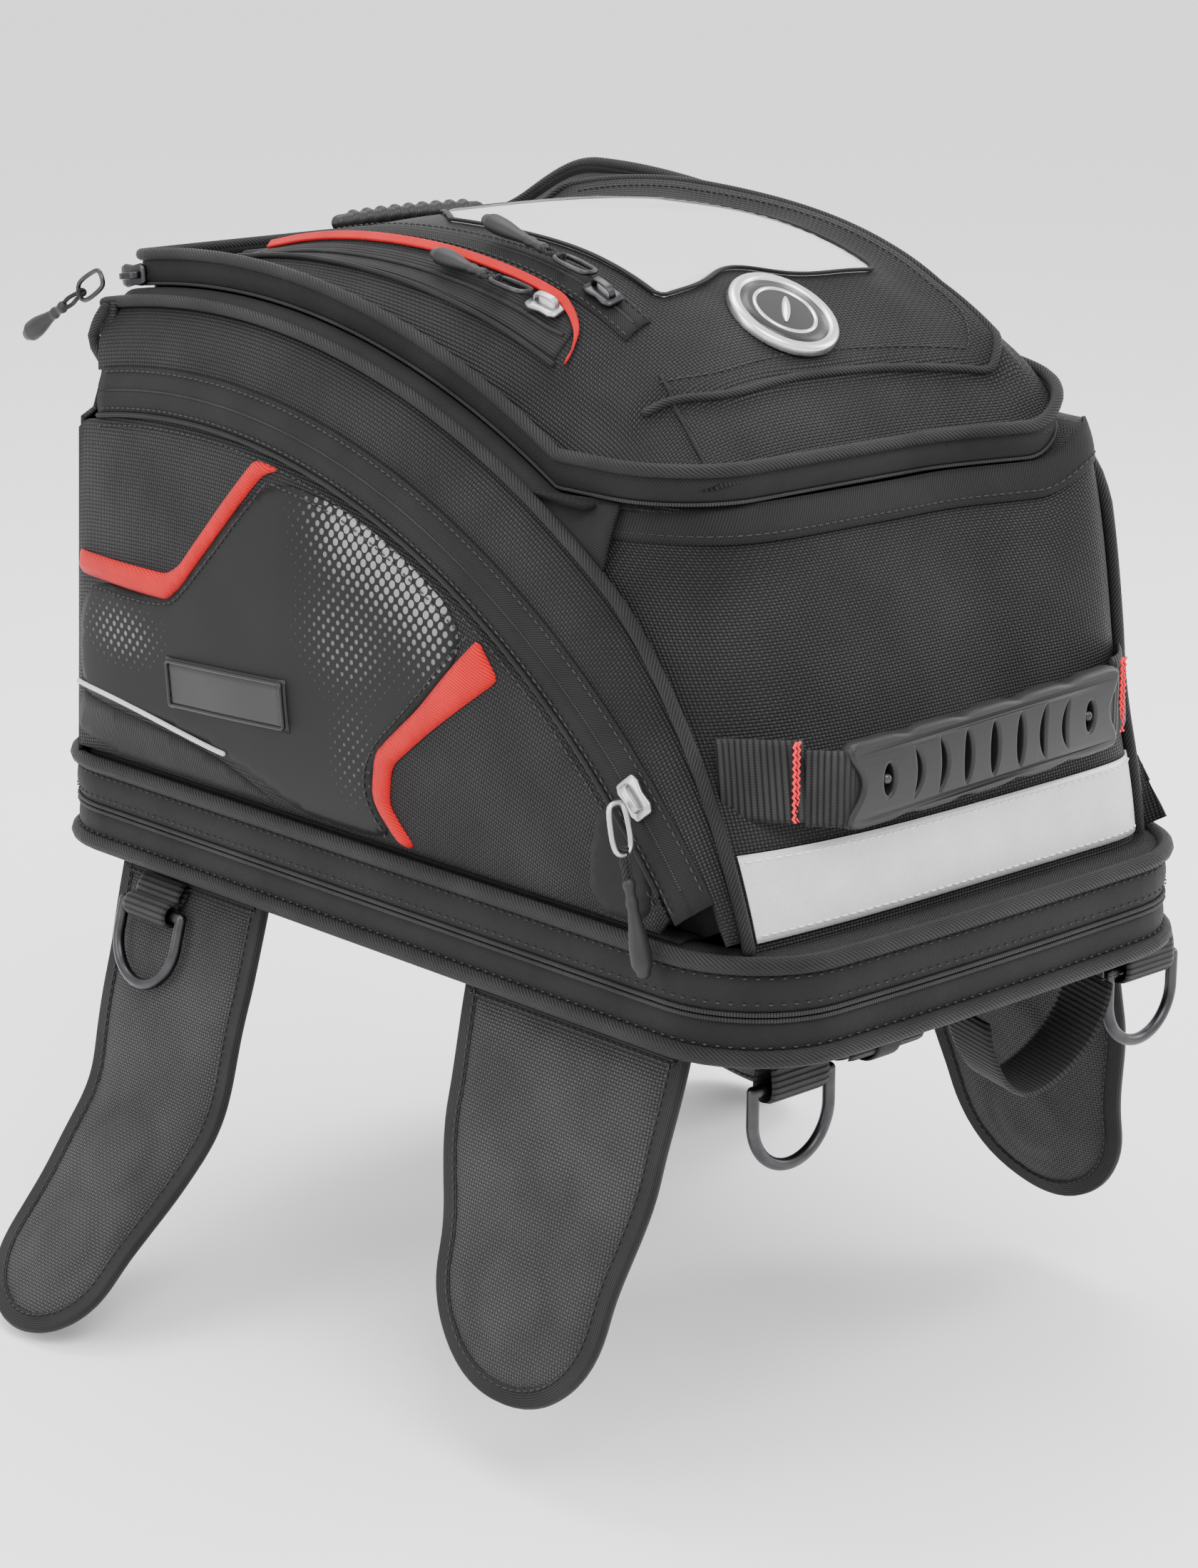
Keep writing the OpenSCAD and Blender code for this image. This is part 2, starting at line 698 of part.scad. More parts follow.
module front_left_ring() { translate([front_ring_x[0], front_ring_y + 0.8, ring_axis_z]) d_ring(); }
module front_right_ring() { translate([front_ring_x[1], front_ring_y + 0.8, ring_axis_z]) d_ring(); }
module rear_left_ring() {
    translate([-flap_axis_x, rear_ring_y, flap_axis_z]) rotate([0, rear_splay, 0])
        translate([-rear_ring_off, 0, rear_ring_drop]) rotate([0, 0, -90]) d_ring();
}
module rear_right_ring() { side(1) rear_left_ring(); }

antislip_pad();
base_panel();
stiffener_board();
lower_band();
lower_welt();
front_ring_tabs();
under_strap();
slot_buckles();
expander_gusset();
upper_band();
upper_welt();
body_shell();
body_welts();
reflective_strip();
handle_anchors();
lid_zip();
left_pocket_gusset();
right_pocket_gusset();
left_pocket_zip();
right_pocket_zip();
left_pocket_panel();
left_rubber_panel();
left_red_trim();
left_name_patch();
right_pocket_panel();
right_rubber_panel();
right_red_trim();
right_name_patch();
lid_shell();
lid_welts();
window_film();
window_backing();
map_zip();
media_pocket_lip();
badge();
rear_handle();
front_handle_webbing();
front_handle_grip();
lid_slider();
lid_pull();
left_pocket_slider();
left_pocket_pull();
right_pocket_slider();
right_pocket_pull();
map_slider();
map_pull();
media_slider();
media_pull();
front_left_flap();
front_right_flap();
rear_left_flap();
rear_right_flap();
front_left_magnets();
front_right_magnets();
rear_left_magnets();
rear_right_magnets();
front_left_ring();
front_right_ring();
rear_left_ring();
rear_right_ring();
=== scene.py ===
from math import atan, copysign, cos, degrees, exp, hypot, pi, radians, sin, sqrt
import bpy
import numpy as np
from mathutils import Matrix, Vector, geometry, noise


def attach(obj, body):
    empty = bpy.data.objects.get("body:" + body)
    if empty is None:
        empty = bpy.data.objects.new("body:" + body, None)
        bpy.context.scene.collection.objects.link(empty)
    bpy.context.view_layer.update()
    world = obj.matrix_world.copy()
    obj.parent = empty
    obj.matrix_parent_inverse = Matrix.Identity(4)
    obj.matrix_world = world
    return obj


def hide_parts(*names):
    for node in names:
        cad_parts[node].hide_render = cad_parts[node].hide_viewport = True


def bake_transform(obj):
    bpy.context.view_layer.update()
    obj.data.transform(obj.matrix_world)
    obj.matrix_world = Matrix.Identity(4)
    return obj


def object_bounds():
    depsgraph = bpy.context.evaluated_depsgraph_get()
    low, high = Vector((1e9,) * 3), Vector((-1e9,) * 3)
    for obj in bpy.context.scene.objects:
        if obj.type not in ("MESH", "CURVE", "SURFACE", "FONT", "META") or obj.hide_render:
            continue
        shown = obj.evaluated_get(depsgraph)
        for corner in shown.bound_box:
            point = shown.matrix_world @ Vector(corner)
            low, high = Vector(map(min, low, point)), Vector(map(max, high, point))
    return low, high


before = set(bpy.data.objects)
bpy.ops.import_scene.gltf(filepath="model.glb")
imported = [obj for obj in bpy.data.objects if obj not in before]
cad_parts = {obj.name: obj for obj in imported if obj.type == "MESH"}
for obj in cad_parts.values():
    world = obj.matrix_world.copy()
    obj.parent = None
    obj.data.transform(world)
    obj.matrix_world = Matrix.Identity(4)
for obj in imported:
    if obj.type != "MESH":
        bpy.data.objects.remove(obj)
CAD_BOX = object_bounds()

# Lengths in this script are millimetres; MM turns them into metres where a mesh is made.
MM = 0.001


# ---------------------------------------------------------------- camera, light, floor

def camera():
    cam = bpy.data.objects.new("Camera", bpy.data.cameras.new("Camera"))
    bpy.context.collection.objects.link(cam)
    azimuth, elevation = radians(-42.7), radians(15.5)
    back = Vector((sin(azimuth) * cos(elevation),
                   -cos(azimuth) * cos(elevation), sin(elevation)))
    cam.location = (-0.8060, -0.8751, 0.3639)
    cam.rotation_mode = "QUATERNION"
    cam.rotation_quaternion = back.to_track_quat("Z", "Y")
    cam.data.lens = 82.55
    cam.data.clip_start, cam.data.clip_end = 0.01, 50
    bpy.context.scene.camera = cam


def area_light(name, place, aim, size, power):
    light = bpy.data.lights.new(name, "AREA")
    light.shape, light.size, light.size_y = "RECTANGLE", size[0], size[1]
    light.energy = power
    ob = bpy.data.objects.new(name, light)
    ob.location = place
    ob.rotation_mode = "QUATERNION"
    ob.rotation_quaternion = (Vector(place) - Vector(aim)).to_track_quat("Z", "Y")
    bpy.context.collection.objects.link(ob)


def studio():
    world = bpy.data.worlds.new("Studio")
    bpy.context.scene.world = world
    world.use_nodes = True
    sky = world.node_tree.nodes["Background"]
    sky.inputs["Color"].default_value = (1, 1, 1, 1)
    sky.inputs["Strength"].default_value = 1.7
    area_light("Key", (-0.5, -1.3, 1.6), (0, 0, 0.1), (1.2, 0.8), 34)
    area_light("Side", (-1.7, 0.3, 0.9), (0, 0, 0.08), (0.9, 1.4), 22)
    area_light("Top", (0.1, 0.5, 1.9), (0, 0, 0.2), (1.6, 0.7), 30)
    area_light("Rim", (1.5, -0.7, 0.8), (0, -0.1, 0.1), (0.6, 1.2), 16)


def floor():
    size, z = 30, CAD_BOX[0].z - 0.002
    me = bpy.data.meshes.new("Floor")
    corners = [(x * size, y * size, z) for x, y in ((-1, -1), (1, -1), (1, 1), (-1, 1))]
    me.from_pydata(corners, [], [(0, 1, 2, 3)])
    ob = bpy.data.objects.new("Floor", me)
    bpy.context.collection.objects.link(ob)
    m = Mat("Floor_White", (0.95, 0.95, 0.95), 0.8)
    m.colour(m.noise(3, 2), (0.94, 0.94, 0.94), (0.96, 0.96, 0.96))
    me.materials.append(m.done())


# ---------------------------------------------------------------- material building

class Mat:
    """A Principled material with short calls for the nodes that these fabrics need."""

    def __init__(self, name, colour, rough, metal=0.0, space="UV", **sockets):
        self.material = bpy.data.materials.new(name)
        self.material.use_nodes = True
        self.tree = self.material.node_tree
        self.shader = self.tree.nodes["Principled BSDF"]
        self.shader.inputs["Base Color"].default_value = (*colour, 1)
        self.shader.inputs["Roughness"].default_value = rough
        self.shader.inputs["Metallic"].default_value = metal
        for k, v in sockets.items():
            self.shader.inputs[k.replace("_", " ")].default_value = v
        self.space = self.tree.nodes.new("ShaderNodeTexCoord").outputs[space]

    def put(self, node_input, value):
        if isinstance(value, bpy.types.NodeSocket):
            self.tree.links.new(value, node_input)
        else:
            node_input.default_value = value

    def math(self, op, a, b=0.0, clamp=False):
        n = self.tree.nodes.new("ShaderNodeMath")
        n.operation, n.use_clamp = op, clamp
        self.put(n.inputs[0], a)
        self.put(n.inputs[1], b)
        return n.outputs[0]

    def coords(self, pitch_u, pitch_v=None, turn=0.0):
        """U and V in units of the pitches, in millimetres, turned by an angle in degrees."""
        mapping = self.tree.nodes.new("ShaderNodeMapping")
        self.put(mapping.inputs["Vector"], self.space)
        mapping.inputs["Rotation"].default_value = (0, 0, radians(turn))
        split = self.tree.nodes.new("ShaderNodeSeparateXYZ")
        self.put(split.inputs[0], mapping.outputs[0])
        return (self.math("MULTIPLY", split.outputs[0], 1000 / pitch_u),
                self.math("MULTIPLY", split.outputs[1], 1000 / (pitch_v or pitch_u)))

    def wave(self, x):
        return self.math("SINE", self.math("MULTIPLY", x, pi))

    def noise(self, scale, detail=2):
        n = self.tree.nodes.new("ShaderNodeTexNoise")
        n.inputs["Scale"].default_value = scale
        n.inputs["Detail"].default_value = detail
        coord = self.tree.nodes.new("ShaderNodeTexCoord")
        self.put(n.inputs["Vector"], coord.outputs["Object"])
        return n.outputs["Fac"]

    def weave(self, pitch_u, pitch_v=None, turn=0.0):
        """Height of a plain weave, and a factor that is 1 on one set of yarns and 0 on the other."""
        u, v = self.coords(pitch_u, pitch_v, turn)
        su, sv = self.wave(u), self.wave(v)
        au, av = self.math("ABSOLUTE", su), self.math("ABSOLUTE", sv)
        over = self.math("GREATER_THAN", self.math("MULTIPLY", su, sv), 0)
        warp = self.math("MULTIPLY", self.math("POWER", au, 0.9), self.math("POWER", av, 0.35))
        weft = self.math("MULTIPLY", self.math("POWER", au, 0.35), self.math("POWER", av, 0.9))
        a = self.math("MULTIPLY", warp, over)
        b = self.math("MULTIPLY", weft, self.math("SUBTRACT", 1.0, over))
        return self.math("ADD", a, b), over

    def ribs(self, pitch, turn=0.0, power=0.7):
        u, _ = self.coords(pitch, pitch, turn)
        return self.math("POWER", self.math("ABSOLUTE", self.wave(u)), power)

    def mix(self, factor, low, high):
        n = self.tree.nodes.new("ShaderNodeMix")
        n.data_type = "RGBA"
        self.put(n.inputs["Factor"], factor)
        self.put(n.inputs["A"], (*low, 1) if isinstance(low, tuple) else low)
        self.put(n.inputs["B"], (*high, 1) if isinstance(high, tuple) else high)
        return n.outputs["Result"]

    def colour(self, factor, low, high):
        c = self.mix(factor, low, high)
        self.tree.links.new(c, self.shader.inputs["Base Color"])
        return c

    def range(self, x, low, high, to_low, to_high):
        n = self.tree.nodes.new("ShaderNodeMapRange")
        n.clamp = True
        names = ("Value", "From Min", "From Max", "To Min", "To Max")
        for name, value in zip(names, (x, low, high, to_low, to_high)):
            self.put(n.inputs[name], value)
        return n.outputs[0]

    def rough(self, x, low, high):
        self.tree.links.new(self.range(x, 0, 1, low, high), self.shader.inputs["Roughness"])

    def bump(self, height, strength, depth):
        n = self.tree.nodes.new("ShaderNodeBump")
        n.inputs["Strength"].default_value = strength
        n.inputs["Distance"].default_value = depth * MM
        self.put(n.inputs["Height"], height)
        old = self.shader.inputs["Normal"].links
        if old:
            self.tree.links.new(old[0].from_socket, n.inputs["Normal"])
        self.tree.links.new(n.outputs[0], self.shader.inputs["Normal"])

    def done(self):
        return self.material


def woven(name, pitch, dark, light, rough=(0.62, 0.42), turn=0.0, depth=0.35, sheen=0.12, pitch_v=None):
    m = Mat(name, dark, rough[0], Sheen_Weight=sheen, Sheen_Roughness=0.4, Specular_IOR_Level=0.1)
    height, over = m.weave(pitch, pitch_v, turn)
    worn = m.noise(35, 4)
    # Base colour: yarn tops are painted lighter and the gaps between yarns darker, by weave height, as
    # painted highlight and painted shade; the wear noise scales this, and the second set of yarns is a
    # quarter darker.
    highlight_and_wear = m.math("MULTIPLY", height, m.range(worn, 0.3, 0.75, 0.55, 1.15))
    painted_highlight_tone = m.math("MULTIPLY", highlight_and_wear, m.math("ADD", 0.75, m.math("MULTIPLY", over, 0.25)), True)
    m.colour(painted_highlight_tone, dark, light)
    m.rough(height, *rough)
    m.bump(height, 0.9, depth)
    m.bump(m.noise(60, 3), 0.25, 0.5)
    return m.done()


def ribbed(name, pitch, dark, light, turn=0.0, depth=0.3, rough=(0.7, 0.5), cross=0.45, sheen=0.15):
    m = Mat(name, dark, rough[0], Sheen_Weight=sheen, Sheen_Roughness=0.5, Specular_IOR_Level=0.1)
    rib = m.ribs(pitch, turn)
    thread = m.ribs(cross, turn + 90, 0.5)
    height = m.math("MULTIPLY", rib, m.math("ADD", 0.7, m.math("MULTIPLY", thread, 0.3)))
    # Base colour: rib crests are painted lighter and the grooves darker, by rib height, as painted highlight
    # and painted shade, with a noise for random tone.
    m.colour(m.math("MULTIPLY", height, m.range(m.noise(50, 3), 0.3, 0.7, 0.6, 1.1), True), dark, light)
    m.rough(height, *rough)
    m.bump(height, 0.85, depth)
    return m.done()


def moulded(name, dark, light, rough=(0.45, 0.6), grain=900, depth=0.08, **sockets):
    m = Mat(name, dark, rough[0], Specular_IOR_Level=0.3, **sockets)
    spread = m.noise(30, 4)
    m.colour(spread, dark, light)
    m.rough(m.noise(120, 3), *rough)
    m.bump(m.noise(grain, 2), 0.5, depth)
    return m.done()


def metal(name, dark, light, rough=(0.28, 0.45)):
    m = Mat(name, dark, rough[0], metal=1.0)
    m.colour(m.noise(140, 4), dark, light)
    m.rough(m.noise(260, 3), *rough)
    m.bump(m.noise(700, 2), 0.25, 0.05)
    return m.done()


def printed_rubber():
    """Matte sheet with a raised halftone: dots grow with the mesh's own fade attribute."""
    m = Mat("Printed_Rubber", (0.010, 0.010, 0.0105), 0.55, Specular_IOR_Level=0.15)
    fade = m.tree.nodes.new("ShaderNodeAttribute")
    fade.attribute_name = "fade"
    u, v = m.coords(3.3, 3.3, 45)
    du = m.math("SUBTRACT", m.math("FRACT", u), 0.5)
    dv = m.math("SUBTRACT", m.math("FRACT", v), 0.5)
    away = m.math("SQRT", m.math("ADD", m.math("MULTIPLY", du, du), m.math("MULTIPLY", dv, dv)))
    size = m.math("MULTIPLY", fade.outputs["Fac"], 0.44)
    dot = m.range(m.math("SUBTRACT", size, away), -0.04, 0.04, 0.0, 1.0)
    dot = m.math("MULTIPLY", dot, m.math("GREATER_THAN", fade.outputs["Fac"], 0.12))
    bright = m.range(fade.outputs["Fac"], 0.35, 1.0, 0.0, 1.0)
    ink = m.mix(bright, (0.030, 0.030, 0.031), (0.20, 0.20, 0.20))
    ground = m.mix(m.noise(25, 3), (0.005, 0.005, 0.0053), (0.010, 0.010, 0.0104))
    m.tree.links.new(m.mix(dot, ground, ink), m.shader.inputs["Base Color"])
    m.rough(dot, 0.58, 0.33)
    m.bump(dot, 0.6, 0.25)
    m.bump(m.noise(1100, 2), 0.35, 0.06)
    return m.done()


def reflective():
    m = Mat("Reflective_Tape", (0.5, 0.5, 0.51), 0.42, metal=0.35, Coat_Weight=0.25, Coat_Roughness=0.3)
    beads = m.noise(1800, 1)
    crumple = m.noise(70, 5)
    m.colour(m.math("ADD", m.math("MULTIPLY", beads, 0.5), m.math("MULTIPLY", crumple, 0.5)),
             (0.34, 0.34, 0.35), (0.72, 0.72, 0.73))
    m.rough(crumple, 0.35, 0.55)
    m.bump(beads, 0.4, 0.05)
    m.bump(crumple, 0.5, 0.5)
    return m.done()


def window_grey():
    m = Mat("Window_Grey", (0.5, 0.5, 0.5), 0.6, space="UV")
    sheet = m.ribs(0.8, 0, 0.5)
    # Base colour: a quarter of it follows the rib height, with the crests painted lighter as painted
    # highlight; the rest is noise for random tone.
    m.colour(m.math("ADD", m.math("MULTIPLY", sheet, 0.25), m.math("MULTIPLY", m.noise(14, 3), 0.75)),
             (0.40, 0.40, 0.41), (0.66, 0.66, 0.67))
    m.rough(m.noise(40, 2), 0.45, 0.65)
    m.bump(sheet, 0.3, 0.06)
    return m.done()


def clear_film():
    m = Mat("Clear_Film", (0.86, 0.87, 0.88), 0.16, Alpha=0.16, Specular_IOR_Level=0.6)
    m.colour(m.noise(20, 2), (0.8, 0.81, 0.82), (0.92, 0.93, 0.94))
    m.rough(m.noise(30, 3), 0.08, 0.26)
    m.bump(m.noise(22, 2), 0.35, 0.6)
    return m.done()


def dimpled():
    m = Mat("Pad_Rubber", (0.02, 0.02, 0.02), 0.7, space="Object", Specular_IOR_Level=0.2)
    u, v = m.coords(6, 6, 45)
    bumps = m.math("MULTIPLY", m.math("ABSOLUTE", m.wave(u)), m.math("ABSOLUTE", m.wave(v)))
    # Base colour: the dimple tops are painted lighter than the hollows, by bump height, as painted highlight
    # and painted shade, varied by a noise.
    m.colour(m.math("MULTIPLY", bumps, m.noise(20, 3)), (0.014, 0.014, 0.015), (0.05, 0.05, 0.05))
    m.rough(bumps, 0.75, 0.55)
    m.bump(bumps, 0.8, 0.8)
    return m.done()


def thread(name, dark, light):
    m = Mat(name, dark, 0.6, space="Object", Specular_IOR_Level=0.15)
    twist = m.noise(1500, 1)
    m.colour(twist, dark, light)
    m.rough(twist, 0.5, 0.75)
    m.bump(twist, 0.4, 0.1)
    return m.done()


def make_materials():
    black, grey = (0.0025, 0.0025, 0.0028), (0.020, 0.020, 0.021)
    return {
        "nylon": woven("Ballistic_Nylon", 1.3, black, (0.030, 0.030, 0.0315), depth=0.55, pitch_v=1.05,
            sheen=0.02),
        "flap": woven("Flap_Nylon", 1.1, (0.005, 0.005, 0.0053), (0.055, 0.055, 0.057), depth=0.5,
            sheen=0.06),
        "ribbed": ribbed("Ribbed_Fabric", 1.1, black, grey, sheen=0.03),
        "lining": woven("Lining", 0.6, (0.01, 0.01, 0.0105), (0.03, 0.03, 0.031), depth=0.15, sheen=0.03),
        "tape": ribbed("Zip_Tape", 0.7, (0.004, 0.004, 0.0043), (0.015, 0.015, 0.0155), sheen=0.02,
            turn=45, depth=0.14, rough=(0.75, 0.6)),
        "piping": ribbed("Piping", 1.0, black, (0.024, 0.024, 0.025), turn=38, depth=0.35, sheen=0.03),
        "webbing": ribbed("Webbing", 1.9, black, (0.028, 0.028, 0.029), turn=90, depth=0.6, cross=0.8,
            sheen=0.03),
        "binding": ribbed("Binding", 0.8, (0.004, 0.004, 0.0043), (0.018, 0.018, 0.0185), depth=0.2,
            sheen=0.03),
        "red": ribbed("Red_Grosgrain", 0.9, (0.22, 0.0015, 0.003), (0.55, 0.003, 0.006), depth=0.18,
            turn=70, rough=(0.6, 0.5), sheen=0.05),
        "silver_cord": ribbed("Silver_Piping", 0.8, (0.30, 0.30, 0.31), (0.62, 0.62, 0.63), turn=40,
            depth=0.15),
        "rubber": printed_rubber(),
        "patch": moulded("Patch_Rubber", (0.005, 0.005, 0.005), (0.011, 0.011, 0.011), (0.3, 0.45)),
        "reflective": reflective(),
        "window": window_grey(),
        "film": clear_film(),
        "ring_silver": metal("Badge_Silver", (0.62, 0.62, 0.63), (0.8, 0.8, 0.81), (0.22, 0.34)),
        "badge_black": moulded("Badge_Black", (0.012, 0.012, 0.013), (0.03, 0.03, 0.03), (0.25, 0.4)),
        "grip": moulded("Grip_Rubber", (0.006, 0.006, 0.0065), (0.015, 0.015, 0.0155), (0.38, 0.5), 1200,
            0.1),
        "pull": moulded("Pull_Rubber", (0.006, 0.006, 0.006), (0.014, 0.014, 0.014), (0.42, 0.55), 1500,
            0.08),
        "dark_metal": metal("Dark_Metal", (0.025, 0.025, 0.027), (0.07, 0.07, 0.073)),
        "steel": metal("Slider_Steel", (0.30, 0.30, 0.31), (0.55, 0.55, 0.56)),
        "gloss": moulded("Gloss_Plastic", (0.008, 0.008, 0.008), (0.016, 0.016, 0.016), (0.08, 0.2), 300,
            0.1, Coat_Weight=0.6, Coat_Roughness=0.06),
        "board": moulded("Board_Plastic", (0.02, 0.02, 0.02), (0.045, 0.045, 0.045), (0.5, 0.65), 500, 0.2),
        "pad": dimpled(),
        "thread": thread("Black_Thread", (0.012, 0.012, 0.012), (0.045, 0.045, 0.045)),
        "thread_white": thread("White_Thread", (0.5, 0.5, 0.5), (0.85, 0.85, 0.85)),
        "thread_red": thread("Red_Thread", (0.5, 0.01, 0.02), (0.9, 0.03, 0.05)),
        "coil": ribbed("Zip_Coil", 0.9, (0.004, 0.004, 0.004), (0.035, 0.035, 0.035), turn=90, depth=0.35,
            sheen=0.02),
    }


# ---------------------------------------------------------------- mesh building

def add(name, verts, faces, mat, body, replaces=(), loop_uvs=None, fade=None):
    """A mesh piece from millimetre points; body None leaves it without a body empty as its parent."""
    me = bpy.data.meshes.new(name)
    me.from_pydata((np.array(verts, float) * MM).tolist(), [], faces)
    if loop_uvs is not None:
        layer = me.uv_layers.new(name="UVMap")
        layer.data.foreach_set("uv", (np.array(loop_uvs, float) * MM).ravel())
    if fade is not None:
        me.attributes.new("fade", "FLOAT", "POINT").data.foreach_set("value", fade)
    me.polygons.foreach_set("use_smooth", [True] * len(me.polygons))
    me.materials.append(MATS[mat])
    me.validate()
    ob = bpy.data.objects.new(name, me)
    bpy.context.collection.objects.link(ob)
    if body:
        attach(ob, body)
    if replaces:
        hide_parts(*replaces)
    return ob


def grid(name, rows, mat, body, replaces=(), wrap=False, loop=False, out=None, thick=0.0, caps=False):
    """A sheet through rows of points. wrap joins each row's ends, loop joins the last row to the first,
    out is a direction that its outer side faces, and thick is its thickness towards the inside."""
    p = np.array(rows, float)
    n, m = p.shape[:2]
    q = np.concatenate([p, p[:, :1]], 1) if wrap else p
    q = np.concatenate([q, q[:1]], 0) if loop else q
    u, v = np.zeros(q.shape[:2]), np.zeros(q.shape[:2])
    u[:, 1:] = np.cumsum(np.linalg.norm(np.diff(q, axis=1), axis=2), 1)
    v[1:] = np.cumsum(np.linalg.norm(np.diff(q, axis=0), axis=2), 0)
    u -= u[:, -1:] / 2
    v = v.mean(1, keepdims=True) + 0 * v
    faces, uvs = [], []
    normal = np.cross(q[:-1, 1:] - q[:-1, :-1], q[1:, :-1] - q[:-1, :-1]).sum((0, 1))
    flip = out is not None and float(normal @ np.array(out, float)) < 0
    for i in range(q.shape[0] - 1):
        for j in range(q.shape[1] - 1):
            corners = [(i, j), (i, j + 1), (i + 1, j + 1), (i + 1, j)]
            if flip:
                corners.reverse()
            faces.append([(a % n) * m + b % m for a, b in corners])
            uvs += [(u[c], v[c]) for c in corners]
    if caps:
        for i in (0, n - 1):
            ring = [i * m + j for j in range(m)]
            faces.append(ring if i else ring[::-1])
            uvs += [(u[i, j], v[i, j]) for j in (range(m) if i else reversed(range(m)))]
    ob = add(name, p.reshape(-1, 3), faces, mat, body, replaces, uvs)
    if thick:
        solid = ob.modifiers.new("Thickness", "SOLIDIFY")
        solid.thickness, solid.offset = thick * MM, -1
    return ob


def along(p, closed):
    """From the point before to the point after, at each point of a path."""
    if closed:
        return np.roll(p, -1, 0) - np.roll(p, 1, 0)
    return np.concatenate([p[1:], p[-1:]]) - np.concatenate([p[:1], p[:-1]])


def frames(path, closed=False, ref=(0, 0, 1)):
    """Tangent and two cross directions along a path; the first cross direction keeps clear of ref."""
    p = np.array(path, float)
    t = along(p, closed)
    t /= np.linalg.norm(t, axis=1, keepdims=True)
    a = np.cross(np.array(ref, float), t)
    a /= np.linalg.norm(a, axis=1, keepdims=True)
    return p, a, np.cross(t, a)


def tube(name, path, r, mat, body, replaces=(), closed=False, ref=(0, 0, 1), sides=10, flat=1.0):
    """A round or flattened tube with rounded ends; r is a number or one radius per point."""
    p, a, b = frames(path, closed, ref)
    rs = np.full(len(p), float(r)) if np.isscalar(r) else np.array(r, float)
    angles = np.linspace(0, 2 * pi, sides, endpoint=False)
    rows = [p[i] + rs[i] * (np.cos(angles)[:, None] * a[i] + flat * np.sin(angles)[:, None] * b[i])
            for i in range(len(p))]
    if not closed:
        start, finish = [], []
        for along, side in ((0.55, 0.85), (0.85, 0.5), (1.0, 0.1)):
            for rounded, end, beside in ((start, 0, 1), (finish, -1, -2)):
                step = (p[end] - p[beside]) / np.linalg.norm(p[end] - p[beside])
                rounded.append(p[end] + step * rs[end] * along + (rows[end] - p[end]) * side)
        rows = start[::-1] + rows + finish
    return grid(name, rows, mat, body, replaces, wrap=True, loop=closed, caps=not closed)


def sweep(name, path, across, width, thick, mat, body, replaces=(), closed=False):
    """A strap along a path, with round edges; across gives its width direction at each point."""
    p = np.array(path, float)
    w = np.array(across, float)
    w = np.broadcast_to(w, p.shape) / np.linalg.norm(w, axis=-1, keepdims=True)
    up = np.cross(along(p, closed), w)
    up /= np.linalg.norm(up, axis=1, keepdims=True)
    widths = np.full(len(p), float(width)) if np.isscalar(width) else np.array(width, float)
    steps = span(15, -1)
    edge = np.sqrt(np.clip(1 - np.abs(steps) ** 10, 0, 1))
    top = [(s, thick / 2 * e) for s, e in zip(steps, edge)]
    bottom = [(s, -thick / 2 * e) for s, e in zip(steps, edge)][::-1]
    section = top + bottom[1:-1]
    rows = [[p[i] + w[i] * s * widths[i] / 2 + up[i] * h for s, h in section] for i in range(len(p))]
    return grid(name, rows, mat, body, replaces, wrap=True, loop=closed, caps=not closed)


def resample(path, step, closed=False, count=None):
    p = np.array(path, float)
    if closed:
        p = np.concatenate([p, p[:1]])
    d = np.concatenate([[0], np.cumsum(np.linalg.norm(np.diff(p, axis=0), axis=1))])
    count = count or max(2, int(round(d[-1] / step)))
    at = np.linspace(0, d[-1], count + 1)[: count if closed else count + 1]
    return np.stack([np.interp(at, d, p[:, k]) for k in range(p.shape[1])], 1)


def soften(path, rounds=2, closed=False):
    """Rounds a polyline's corners by cutting them."""
    p = [np.array(q, float) for q in path]
    for _ in range(rounds):
        pairs = list(zip(p, p[1:] + ([p[0]] if closed else [])))
        cut = [x for a, b in pairs for x in (a * 0.75 + b * 0.25, a * 0.25 + b * 0.75)]
        p = cut if closed else [p[0]] + cut[1:-1] + [p[-1]]
    return np.array(p)


def distance_to(points, outline):
    """Distance of each 2-D point from a closed outline."""
    a = np.array(outline, float)
    b = np.roll(a, -1, 0)
    ab = b - a
    t = np.einsum("nij,ij->ni", points[:, None] - a, ab) / np.maximum((ab * ab).sum(1), 1e-9)
    near = a + np.clip(t, 0, 1)[..., None] * ab
    return np.linalg.norm(points[:, None] - near, axis=2).min(1)


def inside(points, outline):
    a = np.array(outline, float)
    b = np.roll(a, -1, 0)
    x, y = points[:, 0][:, None], points[:, 1][:, None]
    crosses = (a[:, 1] > y) != (b[:, 1] > y)
    rise = np.where(b[:, 1] == a[:, 1], 1e-9, b[:, 1] - a[:, 1])
    at = a[:, 0] + (y - a[:, 1]) * (b[:, 0] - a[:, 0]) / rise
    return (crosses & (x < at)).sum(1) % 2 == 1


def flat_mesh(outline, step):
    """Triangles filling a 2-D outline, with points inside it on a staggered lattice."""
    edge = resample(outline, step, True)
    lo, hi = edge.min(0), edge.max(0)
    xs, ys = np.arange(lo[0], hi[0], step), np.arange(lo[1], hi[1], step * 0.866)
    pts = np.array([(x + (j % 2) * step / 2, y) for j, y in enumerate(ys) for x in xs])
    pts = pts[inside(pts, edge)]
    pts = pts[distance_to(pts, edge) > step * 0.6]
    points = np.concatenate([edge, pts])
    ring = [(i, (i + 1) % len(edge)) for i in range(len(edge))]
    verts, _, faces, *_ = geometry.delaunay_2d_cdt([Vector(q) for q in points], ring,
                                                   [list(range(len(edge)))], 1, 1e-4)
    return np.array([tuple(v) for v in verts]), [list(f) for f in faces], edge


def facing(verts, faces):
    """Summed normal of a triangle mesh."""
    f = np.array(faces)
    return np.cross(verts[f[:, 1]] - verts[f[:, 0]], verts[f[:, 2]] - verts[f[:, 0]]).sum(0)


